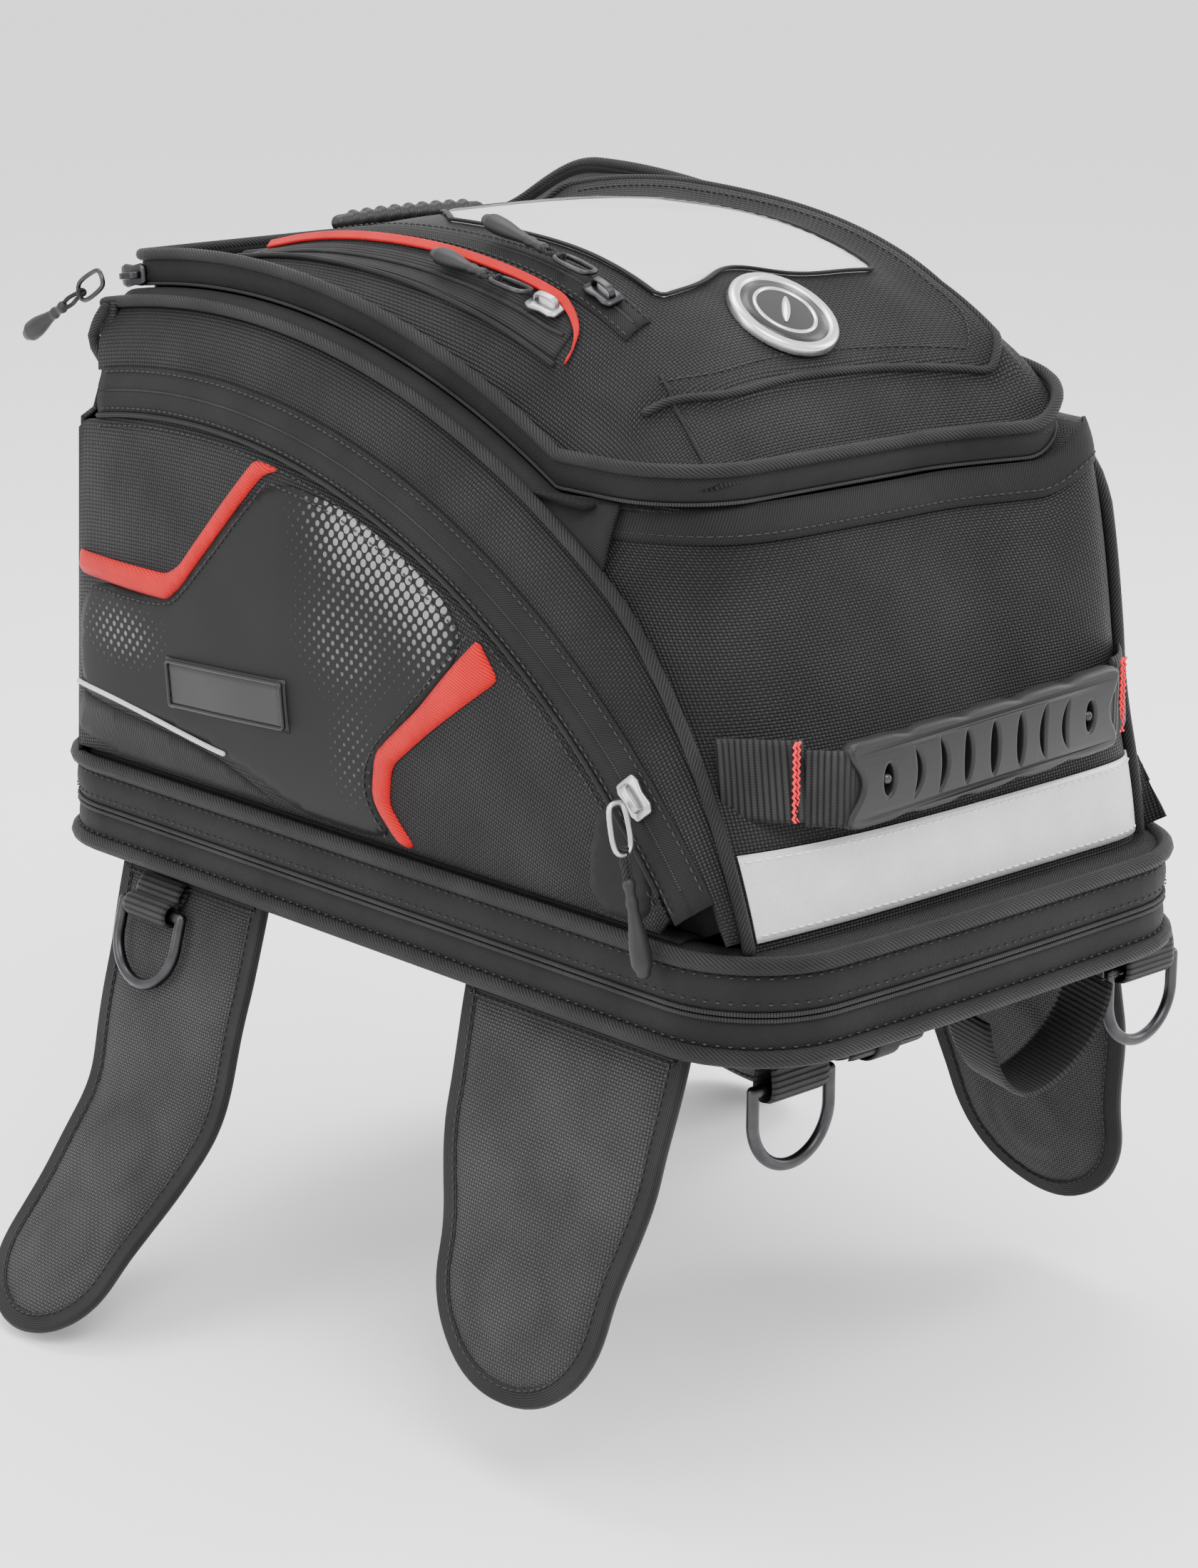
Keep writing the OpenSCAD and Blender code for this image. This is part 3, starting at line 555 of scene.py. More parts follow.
def patch(name, outline, surface, mat, body, replaces=(), step=3.0, thick=1.0, out=(-1, 0, 0), rim=0.0,
          fade=None):
    """A sheet cut to a 2-D outline and laid on surface(p, q, lift); its edge rolls down over rim."""
    flat, faces, edge = flat_mesh(outline, step)
    depth = distance_to(flat, edge)
    lift = np.full(len(flat), thick)
    if rim:
        lift = thick * np.minimum(1, 0.25 + 0.75 * np.sqrt(np.clip(depth / rim, 0, 1)))
    verts = [surface(p, q, h) for (p, q), h in zip(flat, lift)]
    v = np.array(verts)
    normal = facing(v, faces)
    if normal @ np.array(out, float) < 0:
        faces = [g[::-1] for g in faces]
    uvs = [flat[k] for g in faces for k in g]
    values = None if fade is None else [float(fade(p, q)) for p, q in flat]
    ob = add(name, verts, faces, mat, body, replaces, uvs, values)
    solid = ob.modifiers.new("Thickness", "SOLIDIFY")
    solid.thickness, solid.offset = max(0.5, thick * 0.9) * MM, -1
    return ob


def joined_rings(base, count, sides):
    """Faces between rings of points that follow one another in a mesh."""
    return [[q + j, q + (j + 1) % sides, q + sides + (j + 1) % sides, q + sides + j]
            for q in range(base, base + (count - 1) * sides, sides) for j in range(sides)]


def stitches(name, path, normal, mat, body, length=2.3, gap=1.1, r=0.3):
    """Short raised threads along a path, each one dipping into the fabric at both ends."""
    line = resample(path, 0.5)
    per, run = int((length + gap) / 0.5), int(length / 0.5)
    n = np.array(normal, float) / np.linalg.norm(normal)
    verts, faces = [], []
    angles = np.linspace(0, 2 * pi, 6, endpoint=False)
    for start in range(0, len(line) - run, per):
        a, b = line[start], line[start + run]
        t = (b - a) / max(1e-6, np.linalg.norm(b - a))
        s = np.cross(t, n)
        base = len(verts)
        for f, h, w in ((0, -0.5, 0.5), (0.15, 0.6, 0.9), (0.5, 1, 1), (0.85, 0.6, 0.9), (1, -0.5, 0.5)):
            centre = a + (b - a) * f + n * STITCH_LIFT * h
            verts += [centre + r * w * (cos(c) * s + sin(c) * n) for c in angles]
        faces += joined_rings(base, 5, 6)
    return add(name, verts, faces, mat, body)


def span(count, low=0, high=1):
    return np.linspace(low, high, count)


def smooth(x, low, high):
    t = min(1.0, max(0.0, (x - low) / (high - low)))
    return t * t * (3 - 2 * t)


def ripple(a, b, c, scale, size):
    return size * noise.noise(Vector((a / scale, b / scale, c / scale)))


# ---------------------------------------------------------------- shapes shared with the CAD source

BASE_W, BASE_L, BASE_R = 210.0, 360.0, 34.0
ARCH_Y, ARCH_Z, SEAM_R, LID_R = 91.0, -136.0, 296.0, 338.0
PANEL_X, LID_HALF = 105.0, 85.0
LID_FRONT, LID_BACK = -130.0, 146.0
MOUTH_Z, MOUTH_BACK_Z = 157, 194
GRIP_Z, GRIP_RISE = 82, 2.2
REAR_HANDLE_Y, MAP_X = 96, -52
RING_X_LEFT, RING_X_RIGHT = -69, 97
TAB_Y = -163
FLAP_X, FLAP_Y, FLAP_Z, FLAP_SPLAY = 99, 98, -3.5, 15
STITCH_LIFT = 0.25


def arch(r, deg):
    return ARCH_Y + r * cos(radians(deg)), ARCH_Z + r * sin(radians(deg))


def arch_r(y, z):
    return hypot(y - ARCH_Y, z - ARCH_Z)


def face_y(z):
    return -170 + 42 * (max(0.0, z - 30) / 128) ** 1.4


def edge_z(y):
    return max(158.0, ARCH_Z + sqrt(max(0.0, LID_R ** 2 - (y - ARCH_Y) ** 2)))


def mid_z(y):
    return 226 - 66 * ((25 - y) / 155) ** 3 if y < 25 else 226 - 34 * ((y - 25) / 123) ** 2


def corner_in(d, r):
    return 0.0 if d >= r else r - sqrt(max(0.0, r * r - (r - d) ** 2))


def lid_half(y):
    return LID_HALF - corner_in(y - LID_FRONT, 30) - corner_in(LID_BACK - y, 15)


def seam_left(deg):
    """Radius of the welt between the left gusset and the middle of the bag."""
    return 333 - 25 * (max(0.0, deg - 127) / 20) ** 1.3


def seam_right(deg):
    """The same on the right, where the front stays full up to the lid."""
    lo, hi = 290.0, 420.0
    for _ in range(24):
        r = (lo + hi) / 2
        y, z = arch(r, deg)
        lo, hi = (r, hi) if y > face_y(z) + 8 and z < edge_z(y) - 4.5 else (lo, r)
    return lo


def seam(side, deg):
    if side < 0:
        return seam_left(deg)
    return sum(seam_right(deg + k) for k in (-3, -1.5, 0, 1.5, 3)) / 5


def lean(x, y, z):
    """The right edge of the upper bag stands higher and further forward; pockets and base stay put."""
    free = smooth(arch_r(y, z), 312, 334)
    up = free * smooth(x, 58, 88) * smooth(z, 75, 178)
    forward = 14 * free * smooth(x, 15, 86) * smooth(z, 60, 160) * smooth(y, 70, -110)
    return x, y - forward, z + up * (11 + 9 * smooth(y, -128, -60)) * smooth(y, 156, 92)


def place(points):
    return [lean(*p) for p in points]


def front_y(x, z):
    """Front face: crowned, drawn back to the welt at the left edge."""
    recess = ARCH_Y - sqrt(max(0.0, seam_z_radius(z) ** 2 - (z - ARCH_Z) ** 2)) - face_y(z)
    power = 3 + 5 * min(1.0, max(0.0, (z - 30) / 128)) ** 2
    y = face_y(z) - 3.0 * (1 - min(1.0, abs(x) / 91) ** 2) * smooth(z, 30, 70)
    y += recess * (min(1.0, -x / 91) ** power if x < 0 else 0)
    y += 9 * min(1.0, abs(x) / 91) ** 14 if x > 0 else 0
    return y + ripple(x, z, 3, 38, 1.1) * smooth(z, 64, 110) * (1 - (min(91, abs(x)) / 91) ** 2)


def seam_z_radius(z):
    """Radius at which the left welt passes a height, in front."""
    lo, hi = 100.0, 148.0
    for _ in range(22):
        d = (lo + hi) / 2
        lo, hi = (d, hi) if arch(seam_left(d), d)[1] > z else (lo, d)
    return seam_left(lo)


def pocket_surface(side):
    """Returns f(y, z, lift): the crowned outer skin of a side pocket."""
    def f(y, z, lift=0.0):
        top = SEAM_R - arch_r(y, z)
        back = 158 - 9 * (z - 37) / 115 - y
        d = [max(0.0, q) for q in (top, z - 36, back, y + 141)]
        crown = 4.6
        for q, soft in zip(d, (16, 12, 14, 22)):
            crown *= 1 - exp(-q / soft)
        crown += ripple(y, z, 9, 34, 0.7) * min(1.0, min(d) / 12)
        return (side * (PANEL_X - 0.4 + crown + lift), y, z)
    return f


def lid_top(x, y):
    """Height of the lid's skin before lean(), with the raised pocket on top."""
    h = max(20.0, lid_half(y))
    e = edge_z(y)
    m = max(mid_z(y), e + 6)
    t = min(1.0, abs(x) / h)
    z = e + (m - e) * (1 - t ** (4.2 if x < 0 else 8.5)) + 9 * t ** 6 - 1.6
    z = max(z, e + 9 * smooth(y, LID_FRONT + 14, LID_FRONT)) if y < LID_FRONT + 14 else z
    raised = 2.8 * pocket_rise(x, y)
    dip = -2.6 * exp(-((x + 67) / 5) ** 2) * smooth(y, -66, -48) * smooth(y, 104, 88)
    seat = -3.4 * exp(-(x / 42) ** 4 - ((y - REAR_HANDLE_Y) / 13) ** 4)
    return z + raised + dip + seat + ripple(x, y, 5, 42, 0.8) * (1 - t ** 4)


def pocket_rise(x, y):
    d = min(x + 74, 73 - x, y + 104 + 6 * (x / 72) ** 2 - 14 * exp(-((x + 74) / 22) ** 2), 104 - y)
    return smooth(d, -2.5, 3.0)


def on_lid(x, y, lift=0.0):
    return lean(x, y, lid_top(x, y) + lift)


def outline(width, length, radius, z, step=4.0, bow=3.0):
    """The base outline at a height, slightly bowed at the handle end."""
    pts = []
    for q in range(4):
        sx, sy = (1 if q in (0, 3) else -1), (1 if q < 2 else -1)
        for i in range(9):
            a = radians(90 * q + 90 * i / 8)
            pts.append((sx * (width / 2 - radius) + radius * cos(a),
                        sy * (length / 2 - radius) + radius * sin(a)))
    pts = resample(pts, step, True, int(2 * (BASE_W + BASE_L) / step))
    out = []
    for x, y in pts:
        b = bow * max(0.0, 1 - (x / (width / 2)) ** 2) * smooth(y, -140, -178)
        out.append((x, y - b, z))
    return out


# ---------------------------------------------------------------- base

def band(name, z0, z1, bulge, body, replaces):
    rows = []
    for t in span(9):
        z = z0 + (z1 - z0) * t
        grow = bulge * (1 - (2 * t - 1) ** 2)
        rows.append(outline(BASE_W + 2 * grow, BASE_L + 2 * grow, BASE_R + grow, z))
    ob = grid(name, rows, "tape", body, replaces, wrap=True, thick=1.6)
    if (Vector(ob.data.polygons[0].normal).y > 0) == (ob.data.polygons[0].center.y < 0):
        ob.data.flip_normals()
    return ob


def ring_stitches(name, z, grow, body):
    path = outline(BASE_W + 2 * grow, BASE_L + 2 * grow, BASE_R + grow, z, 2.0)
    p = np.array(path)
    centre = np.clip(p[:, :2], [-(BASE_W / 2 - BASE_R), -(BASE_L / 2 - BASE_R)],
                     [BASE_W / 2 - BASE_R, BASE_L / 2 - BASE_R])
    n = np.concatenate([p[:, :2] - centre, np.zeros((len(p), 1))], 1)
    n /= np.linalg.norm(n, axis=1, keepdims=True)
    line = p + n * 0.1
    verts, faces = [], []
    for i in range(0, len(line) - 2, 2):
        a, b, m = line[i], line[i + 1] * 0.75 + line[i] * 0.25, n[i]
        base = len(verts)
        up = np.array((0, 0, 1.0))
        for f, h, w in ((0, -0.3, 0.4), (0.3, 0.5, 1), (0.7, 0.5, 1), (1, -0.3, 0.4)):
            c = a + (b - a) * f + m * 0.4 * h
            verts += [c + 0.32 * w * (cos(t) * up + sin(t) * m) for t in span(5, 0, 5.03)]
        faces += joined_rings(base, 4, 5)
    return add(name, verts, faces, "thread", body)


def base_pieces():
    underside()
    band("Lower_Band", 3.2, 14.6, 1.2, "base", ["lower_band"])
    tube("Lower_Welt", outline(BASE_W + 3, BASE_L + 3, BASE_R + 1.5, 2.7, 3.0), 2.7, "piping", "base",
         ["lower_welt"], closed=True)
    tube("Expander_Coil_Lower", outline(BASE_W + 1.6, BASE_L + 1.6, BASE_R + 0.8, 14.4, 3.0), 0.75, "coil",
         "base", closed=True, sides=8)
    ring_stitches("Lower_Band_Stitches", 6.2, 1.1, "base")
    front_tabs()
    webbing_below()


def underside():
    """Fabric bottom, drawn in towards its seam, with a soft quilt line round the pad."""
    rows = []
    for k in range(15):
        t = k / 14
        scale = 1 - 0.97 * t
        ring = outline(BASE_W * scale, BASE_L * scale, BASE_R * scale, 0, 8.0, bow=0)
        rows.append([(x, y, 1.6 + 0.9 * exp(-t * 14)) for x, y, _ in ring])
    grid("Underside", rows, "ribbed", "base", ["base_panel"], wrap=True, out=(0, 0, -1), thick=1.2)


def tab(name, x, y, body, replaces, fall=13.0):
    """Webbing folded through a ring: down the front, round the bar and back up."""
    path = [(x, y + 12, -1.0), (x, y + 1.5, -1.2), (x, y - 2.6, -4), (x, y - 3.3, -fall + 2)]
    turn = [(x, y + 0.8 + 4.1 * cos(a), -fall + 4.1 * sin(a)) for a in span(9, pi, 2 * pi)]
    path = soften(path + turn + [(x, y + 4.6, -fall + 3), (x, y + 3.2, -4.5), (x, y + 4.5, -2.2)], 2)
    return sweep(name, path, (1, 0, 0), 25, 1.5, "webbing", body, replaces)


def front_tabs():
    for word, x in (("Left", RING_X_LEFT), ("Right", RING_X_RIGHT)):
        tab("Front_Ring_Tab_" + word, x, TAB_Y, "base", ["front_ring_tabs"])
    for x in (RING_X_LEFT, RING_X_RIGHT):
        stitches("Front_Tab_Stitches_%d" % abs(x), [(x - 11, -166.9, -5.6), (x + 11, -166.9, -5.6)],
                 (0, -1, 0), "thread", "base", length=1.8, gap=0.9)


def webbing_below():
    """Strap under the handle end: a rolled tail, a flat run and the loop that hangs from it."""
    spiral = []
    for a in span(60, 0, 5.2 * pi):
        r = 1.6 + 5.4 * a / (5.2 * pi)
        spiral.append((-29, -158 + r * cos(a), -8.2 + r * sin(a)))
    sweep("Strap_Roll", spiral, (1, 0, 0), 34, 1.1, "webbing", "base", ["under_strap"])
    sweep("Roll_Keeper",
          [(-29, -158 + 8.0 * cos(a), -8.2 + 7.7 * sin(a))
           for a in np.linspace(0, 2 * pi, 28, endpoint=False)],
          (1, 0, 0), 11, 1.0, "binding", "base", closed=True)
    run = [(-12 + 8 * i, -158, -8.4 + 0.5 * sin(i)) for i in range(12)]
    sweep("Strap_Run", run, (0, 1, 0), 14, 1.4, "webbing", "base")
    loop = [(42 + 30 * cos(a) - 5 * sin(a) ** 4, -161 + 1.5 * sin(2 * a), -10.8 - 29 * sin(a))
            for a in span(25, 0, pi)]
    sweep("Strap_Loop", loop, (0.1, 1, 0.12), 22, 1.6, "webbing", "base")
    stitches("Loop_Stitches", [(66, -171, -9.6), (78, -171, -9.6)], (0, 0, -1), "thread", "base")


# ---------------------------------------------------------------- main compartment

def upper_pieces():
    band("Upper_Band", 15.9, 29.4, 1.4, "upper", ["upper_band"])
    tube("Upper_Welt", outline(BASE_W + 1.5, BASE_L + 1.5, BASE_R + 0.8, 31.4, 3.0), 2.8, "piping",
         "upper", ["upper_welt"], closed=True)
    tube("Expander_Coil_Upper", outline(BASE_W + 1.6, BASE_L + 1.6, BASE_R + 0.8, 16.2, 3.0), 0.75, "coil",
         "upper", closed=True, sides=8)
    ring_stitches("Upper_Band_Stitches", 19.6, 1.15, "upper")
    ring_stitches("Upper_Welt_Stitches", 27.6, 0.9, "upper")
    bellows()
    ledge()
    front_panel()
    back_panel()
    top_ledge()
    for side, word in ((-1, "Left"), (1, "Right")):
        side_gusset(side, word)
        side_wall(side, word)
        pocket_zip(side, word)
        side_welts(side, word)
    handle_anchor(-1, "Left")
    handle_anchor(1, "Right")
    strip()


def ledge():
    """Fabric from the upper welt in to the foot of the body."""
    rows = []
    for k in range(7):
        t = k / 6
        inset = 0.2 + 15 * t
        rows.append(outline(BASE_W - 2 * inset, BASE_L - 2 * inset, BASE_R - inset, 31.6 + 1.6 * sin(pi * t)))
    grid("Foot_Ledge", rows, "nylon", "upper", wrap=True, out=(0, 0, 1), thick=1.4)


def bellows():
    """Pleated fabric between the two halves of the band."""
    rows = []
    for k in range(25):
        t = k / 24
        deep = 5.5 + 4.5 * (0.5 - 0.5 * cos(2 * pi * 4 * t))
        deep = 4.0 if k in (0, 24) else deep
        rows.append(outline(BASE_W - 2 * deep, BASE_L - 2 * deep, BASE_R - deep, 6.2 + 20.5 * t, 4.0))
    ob = grid("Expander_Bellows", rows, "lining", None, ["expander_gusset"], wrap=True)
    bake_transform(ob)


def front_rows(z0, z1, count, lift=0.0, x0=-91.0, x1=91.0, columns=56):
    rows = []
    for k in range(count + 1):
        z = z0 + (z1 - z0) * k / count
        xs = [x0 + (x1 - x0) * (0.5 - 0.5 * cos(pi * j / columns)) for j in range(columns + 1)]
        rows.append(place([(x, front_y(x, z) - lift, z) for x in xs]))
    return rows


def front_panel():
    grid("Front_Panel", front_rows(31, MOUTH_Z, 44), "nylon", "upper", ["body_shell"], out=(0, -1, 0.3),
         thick=2.4)


def back_y(x, z):
    y = 170 - 7 * smooth(z, 30, 85) - 8 * smooth(z, 70, 155) - 9 * smooth(z, 140, 198)
    bulge = 5.5 * (1 - (abs(x) / 93) ** 2.5) * smooth(z, 28, 90) * smooth(z, 205, 150)
    return y + bulge + ripple(x, z, 21, 45, 1.2) - 6 * (abs(x) / 96) ** 10


def back_panel():
    rows = []
    for k in range(41):
        z = 31 + (195 - 31) * k / 40
        rows.append([(x, back_y(x, z), z) for x in span(57, -96, 96)])
    grid("Back_Panel", rows, "nylon", "upper", ["body_shell"], out=(0, 1, 0), thick=2.4)


def top_ledge():
    """Zip tape round the mouth: along both sides under the lid, and across the front."""
    for side, word in ((-1, "Left"), (1, "Right")):
        rows = []
        for i in range(61):
            deg = 81.5 + 44.0 * i / 60
            ym, zm = arch(seam(side, deg) + 0.5, deg)
            zl = edge_z(ym) - 0.3
            row = []
            for j in range(7):
                t = j / 6
                x = side * (92.6 + (85.2 - 92.6) * t)
                z = zm + (zl - zm) * t ** 0.8 + 1.0 * sin(pi * t)
                row.append(lean(x, ym, z))
            rows.append(row)
        rows = [r for r in rows if r[0][1] > -104]
        grid("Mouth_Tape_" + word, rows, "tape", "upper", ["lid_zip"], out=(0, 0, 1), thick=1.2)
    across = []
    for k in range(7):
        z = 147 + 11 * k / 6
        across.append(place([(x, front_y(x, z) - 1.4 - 0.7 * sin(pi * k / 6), z)
                             for x in (-90.6 + 181 * (0.5 - 0.5 * cos(pi * j / 70)) for j in range(71))]))
    grid("Mouth_Tape_Front", across, "tape", "upper", ["lid_zip"], out=(0, -1, 0.3), thick=1.2)
    rims = (("Front", MOUTH_Z, front_y, LID_FRONT + 6, 1, 30),
            ("Back", MOUTH_BACK_Z, back_y, LID_BACK - 5, -1, 15))
    for word, z, face, inner, way, radius in rims:
        rows = []
        for x in span(61, -92, 92):
            y0, y1 = face(x, z), inner + way * corner_in(max(0.0, LID_HALF - abs(x)), radius)
            rows.append(place([(x, y0 + (y1 - y0) * t, z - 1.5 * t) for t in span(7)]))
        grid("Mouth_Rim_" + word, rows, "nylon", "upper", out=(0, 0, 1), thick=1.2)
    stitches("Mouth_Stitches_Front",
             place([(x, front_y(x, 149.2) - 1.9, 149.2) for x in span(90, -86, 88)]), (0, -1, 0.3),
             "thread", "upper")


def side_gusset(side, word):
    """Coarse fabric between the pocket zip and the welt, slightly padded."""
    rows = []
    for i in range(71):
        deg = 80.4 + 65.6 * i / 70
        r1 = seam(side, deg) - 0.6
        row = []
        for j in range(11):
            t = j / 10
            r = 311.5 + (r1 - 311.5) * t
            x = 100.4 - 8.0 * t + 1.8 * sin(pi * t)
            y, z = arch(r, deg)
            row.append(lean(side * x, y, max(z, 34)))
        rows.append(row)
    grid("Gusset_" + word, rows, "nylon", "upper", ["%s_pocket_gusset" % word.lower()], out=(side, 0, 0.6),
         thick=1.6)
    back = []
    for k in range(39):
        z = 33 + 160 * k / 38
        high = min(1.0, max(0.0, (z - 159) / 21))
        edge_y = 157.6 - 9 * (z - 37) / 115 if z < 159 else arch((z - ARCH_Z) / sin(radians(80.4)), 80.4)[0]
        y0 = back_y(94.5, z)
        back.append([(side * (94.5 + (10.2 - 10.4 * high) * t), y0 + (edge_y - y0) * t ** 1.6, z)
                     for t in span(7)])
    grid("Corner_" + word, back, "nylon", "upper", out=(side, 1, 0), thick=1.6)


def side_wall(side, word):
    """Padded wall between the main compartment and the side pocket."""
    rows = []
    for i in range(49):
        deg = 81 + 64 * i / 48
        y1, z1 = arch(seam(side, deg) - 3, deg)
        bottom = 158 - (158 + 146) * i / 48
        rows.append([lean(side * (90.6 + 0.9 * sin(pi * t) + ripple(y1, 30 * t, 40, 30, 0.5)),
                          bottom + (y1 - bottom) * t, 33 + (max(z1, 34) - 33) * t) for t in span(15)])
    grid("Inner_Wall_" + word, rows, "lining", "upper", out=(side, 0, 0), thick=2.4)
    floor_rows = [[(side * (91 + 9.6 * t), y, 33.8 + 0.5 * sin(pi * t)) for t in span(5)]
                  for y in span(41, -146, 157)]
    grid("Pocket_Floor_" + word, floor_rows, "lining", "upper", out=(0, 0, 1), thick=1.2)


def pocket_zip_point(side, deg, t):
    """Across the sloping zip band, t 0 at the pocket seam and 1 at the gusset."""
    r = 297.2 + 14.8 * t
    x = 104.8 - 4.2 * t ** 1.3 + 1.1 * sin(pi * t) - 0.9 * exp(-((t - 0.5) / 0.05) ** 2)
    y, z = arch(r, deg)
    return lean(side * x, y, z)


def pocket_zip(side, word):
    rows = [[pocket_zip_point(side, 81 + 62.6 * i / 80, t) for t in span(25)] for i in range(81)]
    grid("Pocket_Zip_" + word, rows, "tape", "upper", ["%s_pocket_zip" % word.lower()], out=(side, 0, 0.4),
         thick=1.0)
    coil = [pocket_zip_point(side, 82 + 60 * i / 110, 0.5) for i in range(111)]
    tube("Pocket_Coil_" + word, coil, 0.55, "coil", "upper", ref=(side, 0, 0), sides=7)
    for k, t in enumerate((0.09, 0.91)):
        line = [np.array(pocket_zip_point(side, 81.5 + 61.5 * i / 140, t)) + (side * 0.2, 0, 0.1)
                for i in range(141)]
        stitches("Pocket_Zip_Stitches_%s_%d" % (word, k), line, (side, 0, 0.3), "thread", "upper")


def side_welts(side, word):
    path = []
    for i in range(91):
        deg = 80.2 + 66.3 * i / 90
        y, z = arch(seam(side, deg) + 0.9, deg)
        path.append(lean(side * 93.0, y, max(z, 32)))
    tube("Welt_" + word, path, 2.1, "piping", "upper", ["body_welts"], ref=(1, 0, 0))
    back = [(side * 96.5, back_y(96, z) - 0.5, z) for z in span(40, 34, 172)]
    over = [lean(side * 96.2, y, z) for y, z in ((152, 180), (148, 187), (143.5, 191.5))]
    tube("Back_Welt_" + word, soften(back + over, 1), 2.2, "piping", "upper", ["body_welts"], ref=(1, 0, 0))
    inner = [arch(SEAM_R + 0.4, 81 + 60.5 * i / 80) for i in range(81)]
    tube("Pocket_Seam_" + word, [(side * (PANEL_X + 0.1), y, z) for y, z in inner], 0.9, "binding",
         "upper", ref=(1, 0, 0), sides=8)


def handle_anchor(side, word):
    xs = span(14, 88.5, 69.5)
    path = []
    for x in xs:
        t = (88.5 - x) / 19
        y0 = front_y(side * x, GRIP_Z)
        y = y0 - 1.6 + (-166.4 - y0 + 1.6) * smooth(t, 0.1, 1.05)
        path.append(lean(side * x, y, GRIP_Z + GRIP_RISE * (side > 0)))
    sweep("Handle_Anchor_" + word, path, (0, 0.12, 1), 25, 1.8, "webbing", "upper", ["handle_anchors"])
    x = side * 72.5
    y = path[11][1] - 1.2
    z = GRIP_Z + GRIP_RISE * (side > 0)
    for k, dx in enumerate((0, side * 1.5)):
        zig = [(x + dx + 0.5 * (-1) ** i, y - 0.15, z - 12 + 24 * i / 22) for i in range(23)]
        tube("Bartack_%s_%d" % (word, k), zig, 0.5, "thread_red", "upper", ref=(0, 1, 0), sides=6)


def strip():
    rows = front_rows(36, 61, 12, 1.0, -89.2, 89.6, 60)
    grid("Reflective_Strip", rows, "reflective", "upper", ["reflective_strip"], out=(0, -1, 0), thick=0.8)
    for k, z in enumerate((38, 59)):
        line = [(x, front_y(x, z) - 1.15, z) for x in span(120, -87.5, 88)]
        stitches("Strip_Stitches_%d" % k, line, (0, -1, 0.1), "thread_white", "upper", length=2.6, gap=1.2,
                 r=0.36)


# ---------------------------------------------------------------- side pockets

def rubber_outline():
    return [(150, 100), (96, 99), (86, 106), (44, 149), (8, 145), (-24, 134), (-62, 112), (-34, 84),
            (-14, 66), (-12, 52), (-22, 38), (26, 38), (40, 42), (58, 48), (82, 54), (140, 57), (153, 59)]


def trim_outlines():
    upper = [(150.5, 108.6), (94, 108.6), (87, 113), (48, 154), (35, 151.6), (43, 149.6), (86, 106),
             (95, 99.4), (151.5, 100.4)]
    lower = [(-62, 112.5), (-36, 86), (-14.5, 68), (-12, 52), (-22, 38), (-31, 38), (-20.5, 52),
             (-23, 65), (-41, 79), (-72, 101)]
    return upper, lower


def halftone(y, z):
    """Dot size over the printed sheet: large along the seam, fading down, and a patch at the back."""
    top = SEAM_R - arch_r(y, z)
    seam_part = smooth(top, 52, 2) * smooth(y, 40, 0) * smooth(y, -70, -40)
    middle = 0.55 * smooth(hypot((y + 2) / 34, (z - 104) / 30), 1.1, 0.25)
    back_part = 0.62 * smooth(hypot((y - 122) / 34, (z - 84) / 16), 1.1, 0.2)
    low = 0.4 * smooth(hypot((y + 4) / 16, (z - 66) / 26), 1.1, 0.3)
    return min(1.0, max(seam_part, middle, back_part, low))


def pocket(side, word):
    low = word.lower()
    body = low + "_pocket"
    skin = pocket_surface(side)
    rows = []
    for i in range(85):
        t = i / 84
        if t < 0.04:
            top = (150 - 4 * t / 0.04, 151 + 3 * t / 0.04)
        else:
            top = arch(SEAM_R - 0.6, 79.3 + (143.0 - 79.3) * (t - 0.04) / 0.96)
        bottom = (157.6 + (-141 - 157.6) * t, 36.4)
        rows.append([skin(bottom[0] + (top[0] - bottom[0]) * s, bottom[1] + (max(top[1], 37) - bottom[1]) * s)
                     for s in span(36)])
    panel = grid("Pocket_Panel_" + word, rows, "nylon", body, [low + "_pocket_panel"], out=(side, 0, 0),
                 thick=2.0)
    out = (side, 0, 0)
    patch("Rubber_Sheet_" + word, soften(rubber_outline(), 2, True), skin, "rubber", body,
          [low + "_rubber_panel"], 3.0, 1.0, out, 3.0, halftone)
    for k, shape in enumerate(trim_outlines()):
        patch("Red_Trim_%s_%d" % (word, k), soften(resample(shape, 5, True), 1, True), skin, "red", body,
              [low + "_red_trim"], 2.2, 1.5, out, 1.4)
    cord = [(y, 60.5 - 8.5 * smooth(y, 150, 60) - 1.2 * smooth(y, 90, 40)) for y in span(40, 153.5, 66)]
    tube("Silver_Piping_" + word, [skin(y, z, 1.0) for y, z in cord], 0.9, "silver_cord", body,
         ref=(1, 0, 0), sides=8)
    lower = [(154, 58), (140, 56), (110, 53.4), (84, 51), (62, 46.5), (46, 40), (42, 37.6), (157, 37.6)]
    patch("Lower_Insert_" + word, soften(lower, 1, True), skin, "ribbed", body, (), 3.0, 0.7, out, 2.0)
    end = [(-112, 37.8), (-137, 37.8), (-138, 52), (-131, 64), (-122, 76), (-114, 66)]
    patch("End_Patch_" + word, soften(end, 1, True), skin, "tape", body, (), 3.0, 0.9, out, 2.0)
    name_patch(side, word, skin)
    pocket_stitches(side, word, skin, body)


